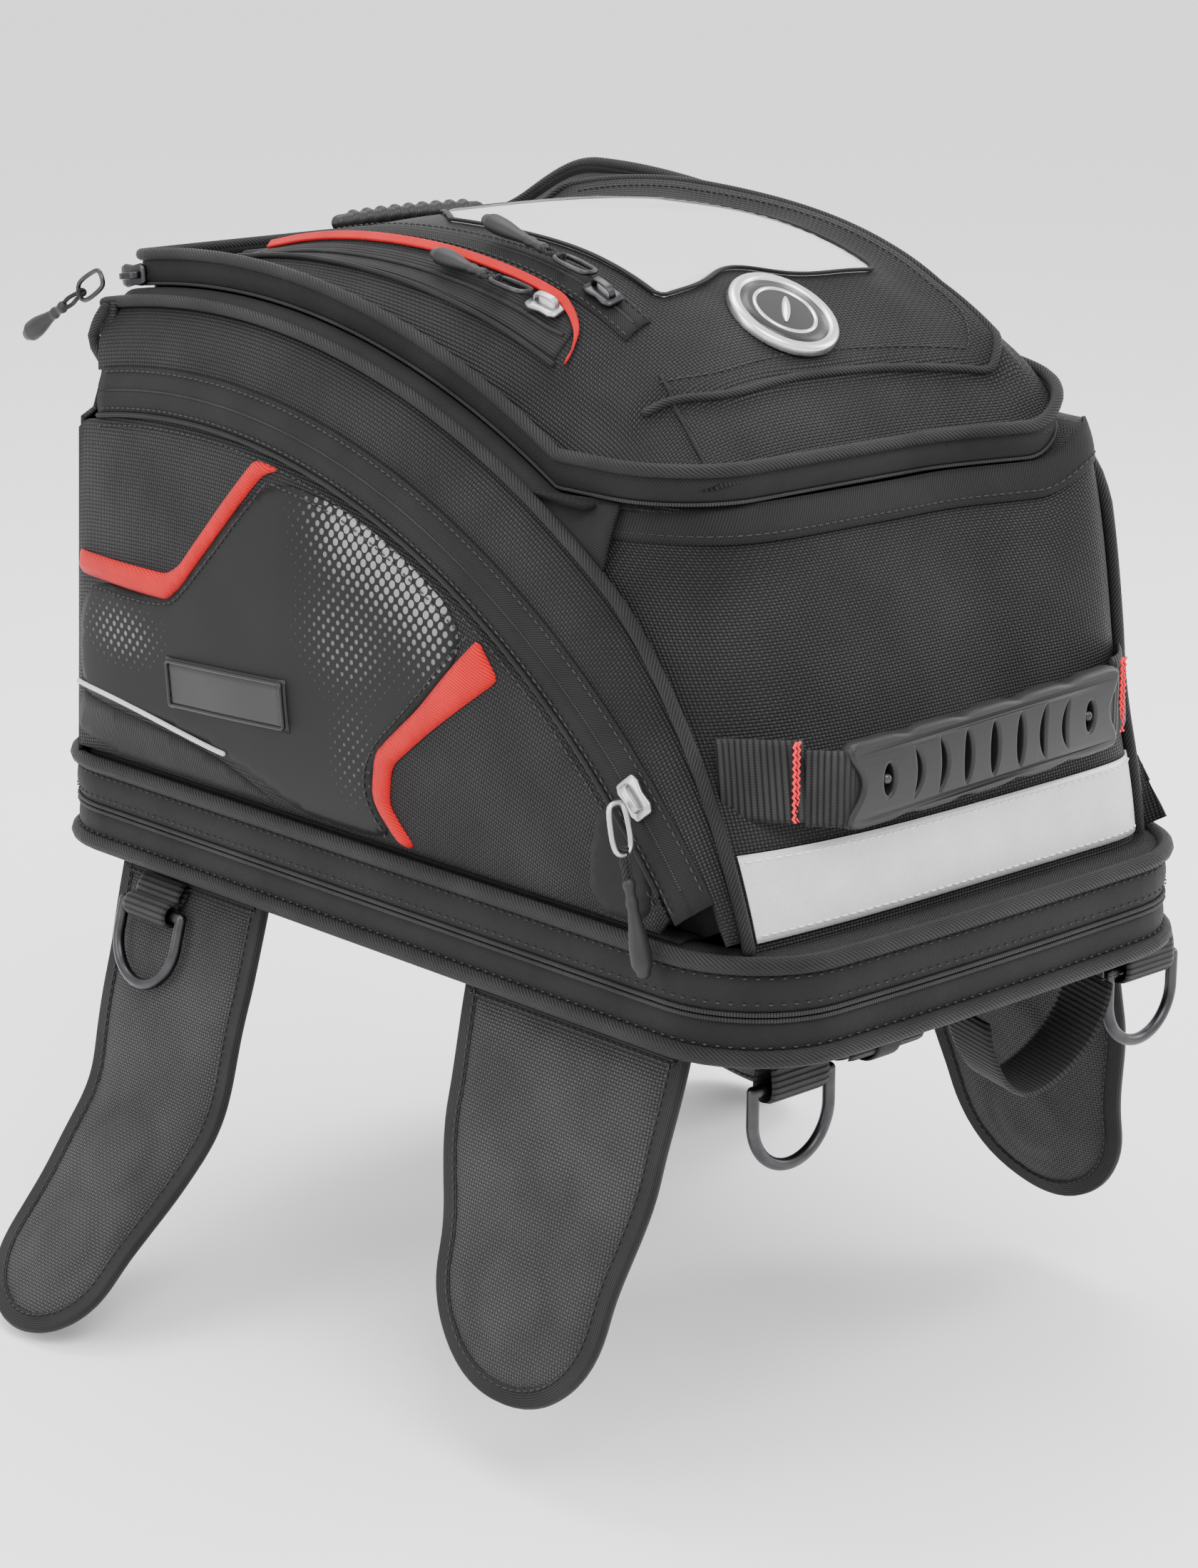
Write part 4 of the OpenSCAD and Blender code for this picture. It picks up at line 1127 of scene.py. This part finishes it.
def name_patch(side, word, skin):
    """Moulded rubber patch, left blank, with a raised rim."""
    low = word.lower()
    tilt = radians(3.0)

    def at(p, q, lift):
        y = 62 - p * cos(tilt) + q * sin(tilt)
        z = 73 + q * cos(tilt) + p * sin(tilt)
        return skin(y, z, 1.0 + lift)

    shape = [(p, q) for p, q in resample([(-33, -9), (33, -9), (33, 9), (-33, 9)], 2.0, True)]
    patch("Blank_Patch_" + word, shape, at, "patch", low + "_pocket", [low + "_name_patch"], 2.0, 1.3,
          (side, 0, 0), 1.2)
    corners = [(-31.6, -7.6), (31.6, -7.6), (31.6, 7.6), (-31.6, 7.6)]
    rim = [at(p, q, 1.3) for p, q in resample(corners, 1.6, True)]
    tube("Patch_Rim_" + word, rim, 0.75, "patch", low + "_pocket", closed=True, ref=(1, 0, 0), sides=8)


def pocket_stitches(side, word, skin, body):
    lines = ([(150, 97.4), (97, 96.4), (84, 103.5), (41, 146.5)],
             [(-58, 112.6), (-32, 85.6), (-11, 67), (-8.6, 52), (-18, 39)],
             [(38, 147), (8, 142.4), (-22, 131.4), (-56, 113)])
    for k, line in enumerate(lines):
        path = [skin(y, z, 1.15) for y, z in resample(soften(line, 2), 1.0)]
        stitches("Sheet_Stitches_%s_%d" % (word, k), path, (side, 0, 0), "thread", body)
    seam_line = [arch(SEAM_R - 3.2, 81 + 61 * i / 160) for i in range(161)]
    stitches("Panel_Stitches_" + word, [skin(y, z, 0.2) for y, z in seam_line], (side, 0, 0), "thread",
             body)


# ---------------------------------------------------------------- lid

def lid_outline(step):
    pts = []
    for y in span(60, LID_BACK - 14, LID_FRONT + 29):
        pts.append((-LID_HALF, y))
    for x, first in ((-55, 180), (55, 270)):
        for a in np.radians(span(12, first, first + 90)):
            pts.append((x + 30 * cos(a), -100 + 30 * sin(a)))
    for y in span(60, LID_FRONT + 31, LID_BACK - 14):
        pts.append((LID_HALF, y))
    for a in span(14, 0, 180):
        pts.append((np.sign(cos(radians(a)) + 1e-9) * 70 + 15 * cos(radians(a)),
                    131 + 15 * sin(radians(a))))
    return resample(pts, step, True)


def lid_pieces():
    ring = lid_outline(2.5)
    centre = np.clip(ring, (-55, -100), (55, 131))
    outward = ring - centre
    outward /= np.maximum(1e-6, np.linalg.norm(outward, axis=1, keepdims=True))
    rows = []
    for k in range(8):
        t = k / 7
        rows.append([lean(x + o[0] * (0.9 * sin(pi * t)), y + o[1] * (0.9 * sin(pi * t)),
                          edge_z(y) + 0.9 + 9.6 * t) for (x, y), o in zip(ring, outward)])
    ob = grid("Lid_Band", rows, "tape", "lid", ["lid_shell"], wrap=True, thick=1.6)
    face = max(ob.data.polygons, key=lambda f: -f.center.y)
    if face.normal.y > 0:
        ob.data.flip_normals()
    tube("Lid_Welt",
         [lean(x + o[0] * 0.7, y + o[1] * 0.7, edge_z(y) + 11.0) for (x, y), o in zip(ring, outward)], 2.1,
         "piping", "lid", ["lid_welts"], closed=True)
    tube("Lid_Zip_Coil",
         [lean(x + o[0] * 0.6, y + o[1] * 0.6, edge_z(y) + 0.9)
          for (x, y), o in zip(ring, outward) if y < 138],
         0.6, "coil", "lid", sides=7)
    lid_skin()
    lid_piping()
    window()
    badge()
    map_pocket()
    media_pocket()
    hinge_tape()


def lid_skin():
    ys = [LID_FRONT + 0.4 + (LID_BACK - LID_FRONT - 0.8) * (0.5 - 0.5 * cos(pi * (k / 110) ** 0.9))
          for k in range(111)]
    rows = []
    for y in ys:
        h = lid_half(y)
        rows.append([on_lid(h * sin(pi / 2 * u), y) for u in span(97, -1)])
    ob = grid("Lid_Top", rows, "nylon", "lid", ["lid_shell"], out=(0, 0, 1), thick=2.6)


def pocket_front_y(x):
    return -104 - 6 * (x / 72) ** 2 + 14 * exp(-((x + 74) / 22) ** 2)


def lid_piping():
    path = [(x, pocket_front_y(x)) for x in span(30, -68, 64)] + \
        [(73, -100 + 8 * k) for k in range(25)] + [(62, 104), (20, 105), (-30, 105), (-66, 103)]
    path = resample(soften(path, 3), 2.5)
    tube("Lid_Pocket_Piping", [on_lid(x, y, 0.2) for x, y in path], 1.5, "piping", "lid", ref=(0, 0, 1))
    stitched = resample(soften([(x, pocket_front_y(x) + 5.5) for x in span(30, -60, 60)]
                               + [(67.5, -92 + 8 * k) for k in range(23)], 3), 1.0)
    stitches("Lid_Pocket_Stitches", [on_lid(x, y, 0.1) for x, y in stitched], (0, 0, 1), "thread", "lid")
    dart = [on_lid(-58 - 7 * t, -92 - 30 * t, 0.25) for t in span(24)]
    tube("Lid_Dart", dart, 0.6, "binding", "lid", sides=7)


def window_outline():
    """The window's front edge bends back round the badge."""
    front = [(x, -70 + 9 * exp(-((x - 2) / 16) ** 2)) for x in span(23, -36, 52)]
    return soften([(-38, 60)] + [(-38, -66)] + front + [(54, -66), (54, 60)], 1, True)


def window():
    shape = window_outline()
    patch("Window_Backing", shape, lambda p, q, h: on_lid(p, q, h), "window", "lid", ["window_backing"],
          3.0, 0.5, (0, 0, 1))
    patch("Window_Film", shape, lambda p, q, h: on_lid(p, q, h + ripple(p, q, 2, 26, 0.5)), "film", "lid",
          ["window_film"], 3.0, 1.4, (0, 0, 1), 2.0)
    tube("Window_Binding", [on_lid(x, y, 1.0) for x, y in resample(shape, 2.0, True)], 1.1, "binding",
         "lid", closed=True, sides=8, flat=0.6)


def badge():
    """Round badge: a domed black disc, a silver ring, a plain inner ring and a bar; no lettering."""
    x0, y0 = 0.0, -87.0
    slope = atan((lid_top(x0, y0 + 12) - lid_top(x0, y0 - 12)) / 24)
    turn = Matrix.Rotation(slope, 3, "X")
    centre = Vector(on_lid(x0, y0, 2.6))

    def at(r, a, h):
        return tuple(centre + turn @ Vector((r * cos(a), r * sin(a), h)))

    turns = np.linspace(0, 2 * pi, 72, endpoint=False)
    dome = ((15.4, -1.5), (15.4, 0.9), (12, 1.25), (6, 1.5), (0.05, 1.55))
    disc = [[at(r, a, h) for a in turns] for r, h in dome]
    grid("Badge_Face", disc, "badge_black", "lid", ["badge"], wrap=True, out=(0, 0, 1))
    ring = [(19, -1.6), (19, 0.5), (18.6, 1.2), (17.8, 1.6), (16.4, 1.7), (15.4, 1.3), (15.1, 0.6)]
    grid("Badge_Ring", [[at(r, a, h) for a in turns] for r, h in ring], "ring_silver", "lid", ["badge"],
         wrap=True, out=(0, 0, 1))
    thin = [(11.2, 1.2), (11.0, 1.75), (10.3, 1.85), (9.9, 1.35)]
    grid("Badge_Inner_Ring", [[at(r, a, h) for a in turns] for r, h in thin], "ring_silver", "lid",
         wrap=True, out=(0, 0, 1))
    bar = [at(abs(r), 0.9 if r > 0 else 0.9 + pi, 1.75) for r in span(9, -6.5, 6.5)]
    tube("Badge_Bar", bar, [0.5, 1.0, 1.3, 1.45, 1.5, 1.45, 1.3, 1.0, 0.5], "ring_silver", "lid", flat=0.5,
         sides=10)


def map_pocket():
    """Zip of the map pocket along the window's left side, with a cord-edged tape."""
    ys = span(70, -76, 112)
    rows = [[on_lid(MAP_X + 5.4 * s, y, 0.5 + 0.9 * (1 - s * s) - 0.7 * exp(-(s / 0.1) ** 2))
             for s in span(17, -1)] for y in ys]
    grid("Map_Zip", rows, "tape", "lid", ["map_zip"], out=(0, 0, 1), thick=0.8)
    tube("Map_Coil", [on_lid(MAP_X, y, 0.9) for y in span(90, -73, 110)], 0.6, "coil", "lid",
         sides=7)
    for s in (-1, 1):
        stitches("Map_Stitches_%d" % (s > 0),
                 [on_lid(MAP_X + 4.5 * s, y, 1.0) for y in span(180, -75, 111)], (0, 0, 1),
                 "thread", "lid")


def media_pocket():
    """Slit pocket with a red edge that hooks outwards at its front end."""
    line = [(-59.6, y) for y in span(40, 98, -50)] + [(-62, -58), (-66, -63.5), (-71.5, -64.5)]
    line = resample(soften(line, 2), 2.0)
    path = [on_lid(x, y, 1.2) for x, y in line]
    sweep("Media_Lip", path, (0.75, 0.1, 0.66), 3.6, 1.3, "red", "lid", ["media_pocket_lip"])
    throat = [[on_lid(x, y, 0.4) for x in span(9, -62.5, -72.5)] for y in span(60, -60, 97)]
    grid("Media_Throat", throat, "ribbed", "lid", out=(0, 0, 1), thick=0.6)
    tube("Media_Coil", [on_lid(-66.5, y, 0.7) for y in span(80, -57, 94)], 0.7, "coil", "lid",
         sides=7)
    outer = [on_lid(x, y, 0.7) for x, y in resample([(-73.2, -60), (-73.4, 98)], 2.5)]
    tube("Media_Outer_Edge", outer, 1.0, "binding", "lid", sides=8)
    stitches("Media_Stitches", [on_lid(-57.6, y, 0.9) for y in span(140, -52, 96)], (0, 0, 1),
             "thread", "lid")


def hinge_tape():
    """Fabric across the hinge at the back."""
    rows = []
    for k in range(13):
        t = k / 12
        y = 147.2 + 1.6 * sin(pi * t)
        rows.append([(x, y - 0.04 * abs(x) ** 1.2 * 0.1, 189 + 15 * t) for x in span(37, -72, 72)])
    ob = grid("Hinge_Tape", rows, "ribbed", None, out=(0, 1, 0), thick=1.2)
    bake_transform(ob)


def cad_lid_z(x, y):
    e = edge_z(y)
    return e + max(0.0, mid_z(y) - e) * (1 - (abs(x) / 85) ** 4)


def rear_handle():
    """Ribbed rubber carry handle."""
    z = cad_lid_z(0, REAR_HANDLE_Y) + 5.2
    xs = span(125, -31, 31)
    radii = [2.9 + 1.0 * max(0.0, cos(2 * pi * x / 6.2)) ** 0.6 * smooth(31 - abs(x), 3, 6) for x in xs]
    path = [(x, REAR_HANDLE_Y, z + 0.8 * (1 - (x / 31) ** 2)) for x in xs]
    tube("Rear_Handle", path, radii, "grip", "rear_handle", ["rear_handle"], sides=16)
    for s in (-1, 1):
        foot = [(s * (29 + 1.5 * t), REAR_HANDLE_Y, z - 0.4 - 3.2 * t) for t in span(7)]
        sweep("Rear_Handle_Foot_%d" % (s > 0), foot, (1, 0, 0), 7, 2.6, "webbing", "rear_handle")


# ---------------------------------------------------------------- front handle

def crescent(cx, w, h, bend, n=26):
    """An upright lens or crescent hole: w wide, h high, bent sideways."""
    pts = []
    for i in range(n):
        a = 2 * pi * i / n
        y = h / 2 * sin(a)
        pts.append((cx + w / 2 * cos(a) + bend * (1 - (2 * y / h) ** 2), y))
    return pts


def grip_shape():
    """Rubber grip with concave, horned ends and nine openings."""
    ob_curve = bpy.data.curves.new("GripCurve", "CURVE")
    ob_curve.dimensions, ob_curve.fill_mode = "2D", "BOTH"
    ob_curve.extrude, ob_curve.bevel_depth, ob_curve.bevel_resolution = 0.0014, 0.0012, 3
    top = [(x, 12.2 - 1.0 * abs(sin(pi * x / 24.4)) ** 6 * (abs(x) < 50)) for x in span(57, -56, 56)]
    right = [(60.6, 11.6), (59.2, 8), (56.2, 4), (55, 0), (56.2, -4), (59.2, -8), (60.6, -11.6)]
    outer = top + right + [(x, -z) for x, z in reversed(top)] + [(-x, -z) for x, z in right]
    holes = [crescent(-46, 6.5, 12, 0), crescent(-35.5, 4.2, 17, 2.6), crescent(-24.5, 4.6, 18.5, 2.2),
             crescent(-12.3, 5.4, 18.5, 0.4), crescent(0, 5.8, 18.8, 0), crescent(12.3, 5.4, 18.5, -0.4),
             crescent(24.5, 4.6, 18.5, -2.2), crescent(35.5, 4.2, 17, -2.6), crescent(46, 6.5, 12, 0)]
    for ring in [resample(soften(outer, 1, True), 1.6, True)] + holes:
        spline = ob_curve.splines.new("POLY")
        spline.points.add(len(ring) - 1)
        for pt, (x, y) in zip(spline.points, ring):
            pt.co = (x * MM, y * MM, 0, 1)
        spline.use_cyclic_u = True
    holder = bpy.data.objects.new("GripHolder", ob_curve)
    bpy.context.collection.objects.link(holder)
    bpy.context.view_layer.update()
    me = bpy.data.meshes.new_from_object(holder.evaluated_get(bpy.context.evaluated_depsgraph_get()))
    bpy.data.objects.remove(holder)
    return me


def front_handle():
    me = grip_shape()
    me.materials.clear()
    me.materials.append(MATS["grip"])
    for v in me.vertices:
        x, z, t = v.co.x / MM, v.co.y / MM, v.co.z / MM
        y = -175.6 - 1.8 * (1 - (x / 61) ** 2) + 0.9 * (abs(z) / 12) ** 2 - t
        v.co = (x * MM, y * MM, (GRIP_Z + z + GRIP_RISE * x / 61) * MM)
    me.polygons.foreach_set("use_smooth", [True] * len(me.polygons))
    ob = bpy.data.objects.new("Grip", me)
    bpy.context.collection.objects.link(ob)
    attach(ob, "front_handle")
    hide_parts("front_handle_grip")
    for s in (-1, 1):
        bend = [(70, -167), (67.5, -169.5), (65, -173), (62.5, -175.2), (59, -175.6), (56, -175.4)]
        path = [(s * x, y, GRIP_Z + GRIP_RISE * s) for x, y in soften(bend, 2)]
        sweep("Grip_Strap_%d" % (s > 0), path, (0, 0, 1), 23.5, 1.6, "webbing", "front_handle",
              ["front_handle_webbing"])
        stud = [(s * 46, -174.4 - 2.6 * t, GRIP_Z + 1.6 * s) for t in span(4)]
        tube("Grip_Stud_%d" % (s > 0), stud, 1.9, "dark_metal", "front_handle", ref=(0, 0, 1), sides=14)


# ---------------------------------------------------------------- sliders and pulls

def turned(*steps):
    """Matrix of OpenSCAD-like moves, outermost first: a point moves, ('X', degrees) turns."""
    m = Matrix.Identity(4)
    for step in steps:
        m = m @ (Matrix.Rotation(radians(step[1]), 4, step[0]) if isinstance(step[0], str)
                 else Matrix.Translation(Vector(step)))
    return m


def moved(matrix, points, mirror=False):
    out = [matrix @ Vector(p) for p in points]
    return [(-v.x, v.y, v.z) if mirror else tuple(v) for v in out]


def slider_pieces(body, matrix, mirror=False, mat="steel"):
    """Tapered slider plate with its bridge."""
    name = body.title()
    rows = []
    stations = ((-6.6, 2.4, 0.5), (-6.2, 3.0, 0.9), (-4, 3.9, 1.1), (0, 3.4, 1.15), (4, 4.1, 1.1),
                (6.2, 3.4, 0.9), (6.6, 2.8, 0.5))
    for x, w, h in stations:
        ring = [(x, w * copysign(abs(cos(a)) ** 0.5, cos(a)),
                 1.0 + h * copysign(abs(sin(a)) ** 0.5, sin(a)))
                for a in np.linspace(0, 2 * pi, 20, endpoint=False)]
        rows.append(moved(matrix, ring, mirror))
    grid(name + "_Plate", rows, mat, body, [body], wrap=True, caps=True)
    arched = [(-4.6, 0, 1.6), (-4.2, 0, 4.6), (0, 0, 5.0), (4.2, 0, 4.6), (4.6, 0, 1.6)]
    bridge = moved(matrix, soften(arched, 2), mirror)
    across = matrix.to_3x3() @ Vector((0, 1, 0))
    across = (-across.x, across.y, across.z) if mirror else tuple(across)
    sweep(name + "_Bridge", bridge, across, 2.3, 0.9, mat, body)


def pull_pieces(body, matrix, cord_l, end_l, mirror=False, mat="dark_metal"):
    """Wire link, a doubled cord and a moulded end."""
    name = body.title()
    ref = matrix.to_3x3() @ Vector((0, 0, 1))
    ref = (-ref.x, ref.y, ref.z) if mirror else tuple(ref)
    loop = [(x, y, 0) for x, y in ((0.4, 2.2), (0.4, -2.2), (-2, -3.4), (-12, -3.8), (-15.2, -2.0),
                                   (-15.2, 2.0), (-12, 3.8), (-2, 3.4))]
    wire = moved(matrix, resample(soften(loop, 2, True), 1.2, True), mirror)
    tube(name + "_Link", wire, 0.85, mat, body, [body], closed=True, ref=ref, sides=9)
    for k, off in enumerate((-0.75, 0.75)):
        cord = [(-14.0 - (cord_l + 3) * t, off * (1 + 0.6 * sin(pi * t)), 0.35 * sin(3 * pi * t + k * 3))
                for t in span(14)]
        tube(name + "_Cord_%d" % k, moved(matrix, cord, mirror), 0.8, "piping", body, ref=ref, sides=8)
    here, ahead = (Vector(q) for q in moved(matrix, [(0, 0, 0), (1, 0, 0)], mirror))
    cord_way = tuple(ahead - here)
    knot = [(-13.4, 0.9 * cos(a), 1.2 * sin(a)) for a in np.linspace(0, 2 * pi, 14, endpoint=False)]
    tube(name + "_Knot", moved(matrix, knot, mirror), 0.8, "piping", body, closed=True,
         ref=cord_way,
         sides=8)
    xs = span(25)
    radii = [1.9 + 0.5 * cos(9 * pi * t) * (t < 0.32) * 0.6 + 1.7 * smooth(t, 0.25, 0.8) for t in xs]
    radii[-2:] = [3.3, 2.6]
    end = [(-15 - cord_l - end_l * t, 0, 0) for t in xs]
    tube(name + "_End", moved(matrix, end, mirror), radii, "pull", body, ref=ref, sides=18, flat=0.82)


def zip_hardware():
    y, z = arch(342.2, 82)
    slider_pieces("lid_slider", turned((-86, y, z), ("X", -8), ("Y", -90), ("Z", 90)), mat="dark_metal")
    pull_pieces("lid_pull", turned((-99.2, 141, 203), ("X", -28), ("Z", -90), ("X", 90)), 12, 24)
    y, z = arch(306, 136.3)
    m = turned((-102.8, y, z), ("X", 46.3), ("Y", -72), ("Z", 90), (0, 0, 1.0))
    n = turned((-113.6, -132, 76), ("X", 76), ("Y", -90), ("Z", 90), ("X", 90))
    for word, mirror in (("left", False), ("right", True)):
        slider_pieces(word + "_pocket_slider", m, mirror)
        pull_pieces(word + "_pocket_pull", n, 9, 26, mirror, "steel")
    slope = degrees(atan((cad_lid_z(MAP_X, -59) - cad_lid_z(MAP_X, -61)) / 2))
    place_map = turned((MAP_X, -60, cad_lid_z(MAP_X, -60) + 4.2), ("X", slope), ("Y", -20), ("Z", 90))
    slider_pieces("map_slider", place_map, mat="dark_metal")
    pull_pieces("map_pull", turned((MAP_X, -54, cad_lid_z(MAP_X, -54) + 8.6), ("X", 14), ("Z", -90)), 8, 26)
    place_media = turned((-63, -46, cad_lid_z(-63, -46) + 2.4), ("Y", -18), ("X", 14), ("Z", 90))
    slider_pieces("media_slider", place_media)
    pull_pieces("media_pull", turned((-66, -40, cad_lid_z(-66, -40) + 8.6), ("X", 10), ("Z", -90)), 6, 22)


# ---------------------------------------------------------------- magnet flaps

def tongue(width, length):
    """Outline of a flap: straight root, sides that draw in slightly, and a round tip."""
    tip = width * 0.385
    centre = -length + tip
    side = []
    for t in span(24):
        q = 3.0 + (centre - 3.0) * t
        half = width / 2 - 2.2 * smooth(t, 0, 0.5) - (width / 2 - 2.2 - tip) * smooth(t, 0.45, 1.05)
        side.append((half, q))
    arc = [(tip * cos(a), centre + tip * sin(a)) for a in span(28, -0.12, -pi + 0.12)]
    left = [(-x, y) for x, y in reversed(side)]
    return side + arc + left


def flap_surface(side, root_y, splay, bend, bend_at):
    """f(q along Y, p down the flap, lift outwards) on the flap's curved middle surface."""
    table = []
    x, z = FLAP_X, FLAP_Z
    for k in range(0, 200):
        table.append((x, z, splay + bend * smooth(k, bend_at - 16, bend_at + 16)))
        a = radians(table[-1][2])
        x += sin(a)
        z -= cos(a)

    def f(q, p, lift=0.0):
        k = min(198.0, max(0.0, -p))
        i = int(k)
        x0, z0, a0 = table[i]
        a = radians(a0 + (table[i + 1][2] - a0) * (k - i))
        d = k - i
        if p > 0:
            d, a = -p, radians(splay)
        nx, nz = cos(a), sin(a)
        wave = ripple(q, p, root_y, 30, 1.1) * smooth(-p, 6, 40)
        rise = lift + wave
        return (side * (x0 + sin(a) * d + nx * rise), root_y + q, z0 - cos(a) * d + nz * rise)
    return f


def flap(side, word, front):
    node = ("front_" if front else "rear_") + word
    width, length = (100, 122) if front else (80, 168)
    surface = flap_surface(side, -FLAP_Y if front else FLAP_Y, FLAP_SPLAY, 0 if front else 28, 80)
    shape = tongue(width, length)
    flat, faces, edge = flat_mesh(shape, 2.8)
    depth = distance_to(flat, edge)
    magnets = [(0, -length + 32), (0, -length + 68)]
    pad = 1.0 + 1.9 * (1 - np.exp(-np.maximum(0, depth - 5.5) / 3.5)) * (depth > 5.5)
    for mx, my in magnets:
        r = np.hypot(flat[:, 0] - mx, flat[:, 1] - my)
        pad += 0.8 / (1 + np.exp((r - 14.5) / 1.1)) - 0.25 * np.exp(-((r - 18) / 2.5) ** 2)
    n = len(flat)
    verts = [surface(q, p, sign * h) for sign in (1, -1) for (q, p), h in zip(flat, pad)]
    v = np.array(verts)
    normal = facing(v, faces)
    outer = [list(g) for g in faces] if normal[0] * side > 0 else [list(g[::-1]) for g in faces]
    all_faces = outer + [[k + n for k in reversed(g)] for g in outer]
    uvs = [flat[k] for g in outer for k in g] + [flat[k - n] for g in all_faces[len(outer):] for k in g]
    name = "Flap_" + node.title()
    ob = add(name, verts, all_faces, "flap", node + "_flap", [node + "_flap"], uvs)
    mid = np.array([surface(q, p, 0) for q, p in resample(shape, 2.2, True)])
    ring = resample(shape, 2.2, True)
    inner = []
    for (q, p), d in zip(ring, np.roll(ring, -1, 0) - np.roll(ring, 1, 0)):
        nrm = np.array((-d[1], d[0])) / np.linalg.norm(d)
        test = np.array((q, p)) + nrm * 3
        nrm = nrm if inside(test[None], ring)[0] else -nrm
        inner.append((q + nrm[0] * 2.9, p + nrm[1] * 2.9, nrm[0], nrm[1]))
    centre = np.array([surface(q, p, 0) for q, p, _, _ in inner])
    across = centre - mid
    sweep("Binding_" + node.title(), centre, across, 7.2, 3.4, "binding", node + "_flap", closed=True)
    line = [(q + a * 2.2, p + b * 2.2) for q, p, a, b in inner]
    for k, h in enumerate((1.9, -1.9)):
        stitches("Flap_Stitches_%s_%d" % (node.title(), k),
                 [surface(q, p, h) for q, p in resample(line, 1.0, True)],
                 (side * (1 if h > 0 else -1), 0, 0), "thread", node + "_flap")
    if not front:
        ring_loop(side, node, surface)


def ring_loop(side, node, surface):
    """Webbing loop of the ring sewn outside a rear flap."""
    pts = [surface(12, -2, 2.2), surface(12, -7, 3.0)]
    a = radians(FLAP_SPLAY)
    cx = FLAP_X + 7 * cos(a) + 12 * sin(a)
    cz = FLAP_Z - 12 * cos(a) + 7 * sin(a)
    turn = [(side * (cx + 4.0 * cos(t)), 110, cz + 4.0 * sin(t)) for t in span(10, 2.4, 2.4 - 4.6)]
    tail = [(side * (cx - 1.5), 110, cz + 5.0), (side * (99.5 + 3.6), 110, -3.0)]
    path = soften([pts[0]] + [(side * (abs(pts[1][0]) + 0.4), 110, pts[1][2])] + turn + tail, 1)
    sweep("Ring_Loop_" + node.title(), path, (0, 1, 0), 25, 1.4, "webbing", node + "_flap")


# ---------------------------------------------------------------- carried-over CAD nodes

def finish_cad():
    looks = {"antislip_pad": "pad", "stiffener_board": "board", "slot_buckles": "gloss"}
    for corner in ("front_left", "front_right", "rear_left", "rear_right"):
        looks[corner + "_magnets"] = "steel"
        looks[corner + "_ring"] = "dark_metal"
    for node, mat in looks.items():
        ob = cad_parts[node]
        if not ob.material_slots:
            ob.data.materials.append(MATS[mat])
        for s in ob.material_slots:
            s.link = "OBJECT"
            s.material = MATS[mat]
        if node in ("slot_buckles", "antislip_pad"):
            bevel = ob.modifiers.new("Edge", "BEVEL")
            bevel.width, bevel.segments, bevel.limit_method = 0.0006, 3, "ANGLE"


# ---------------------------------------------------------------- whole

MATS = {}


def build():
    camera()
    studio()
    floor()
    MATS.update(make_materials())
    base_pieces()
    upper_pieces()
    pocket(-1, "Left")
    pocket(1, "Right")
    lid_pieces()
    rear_handle()
    front_handle()
    zip_hardware()
    for side, word in ((-1, "left"), (1, "right")):
        flap(side, word, True)
        flap(side, word, False)
    finish_cad()


build()
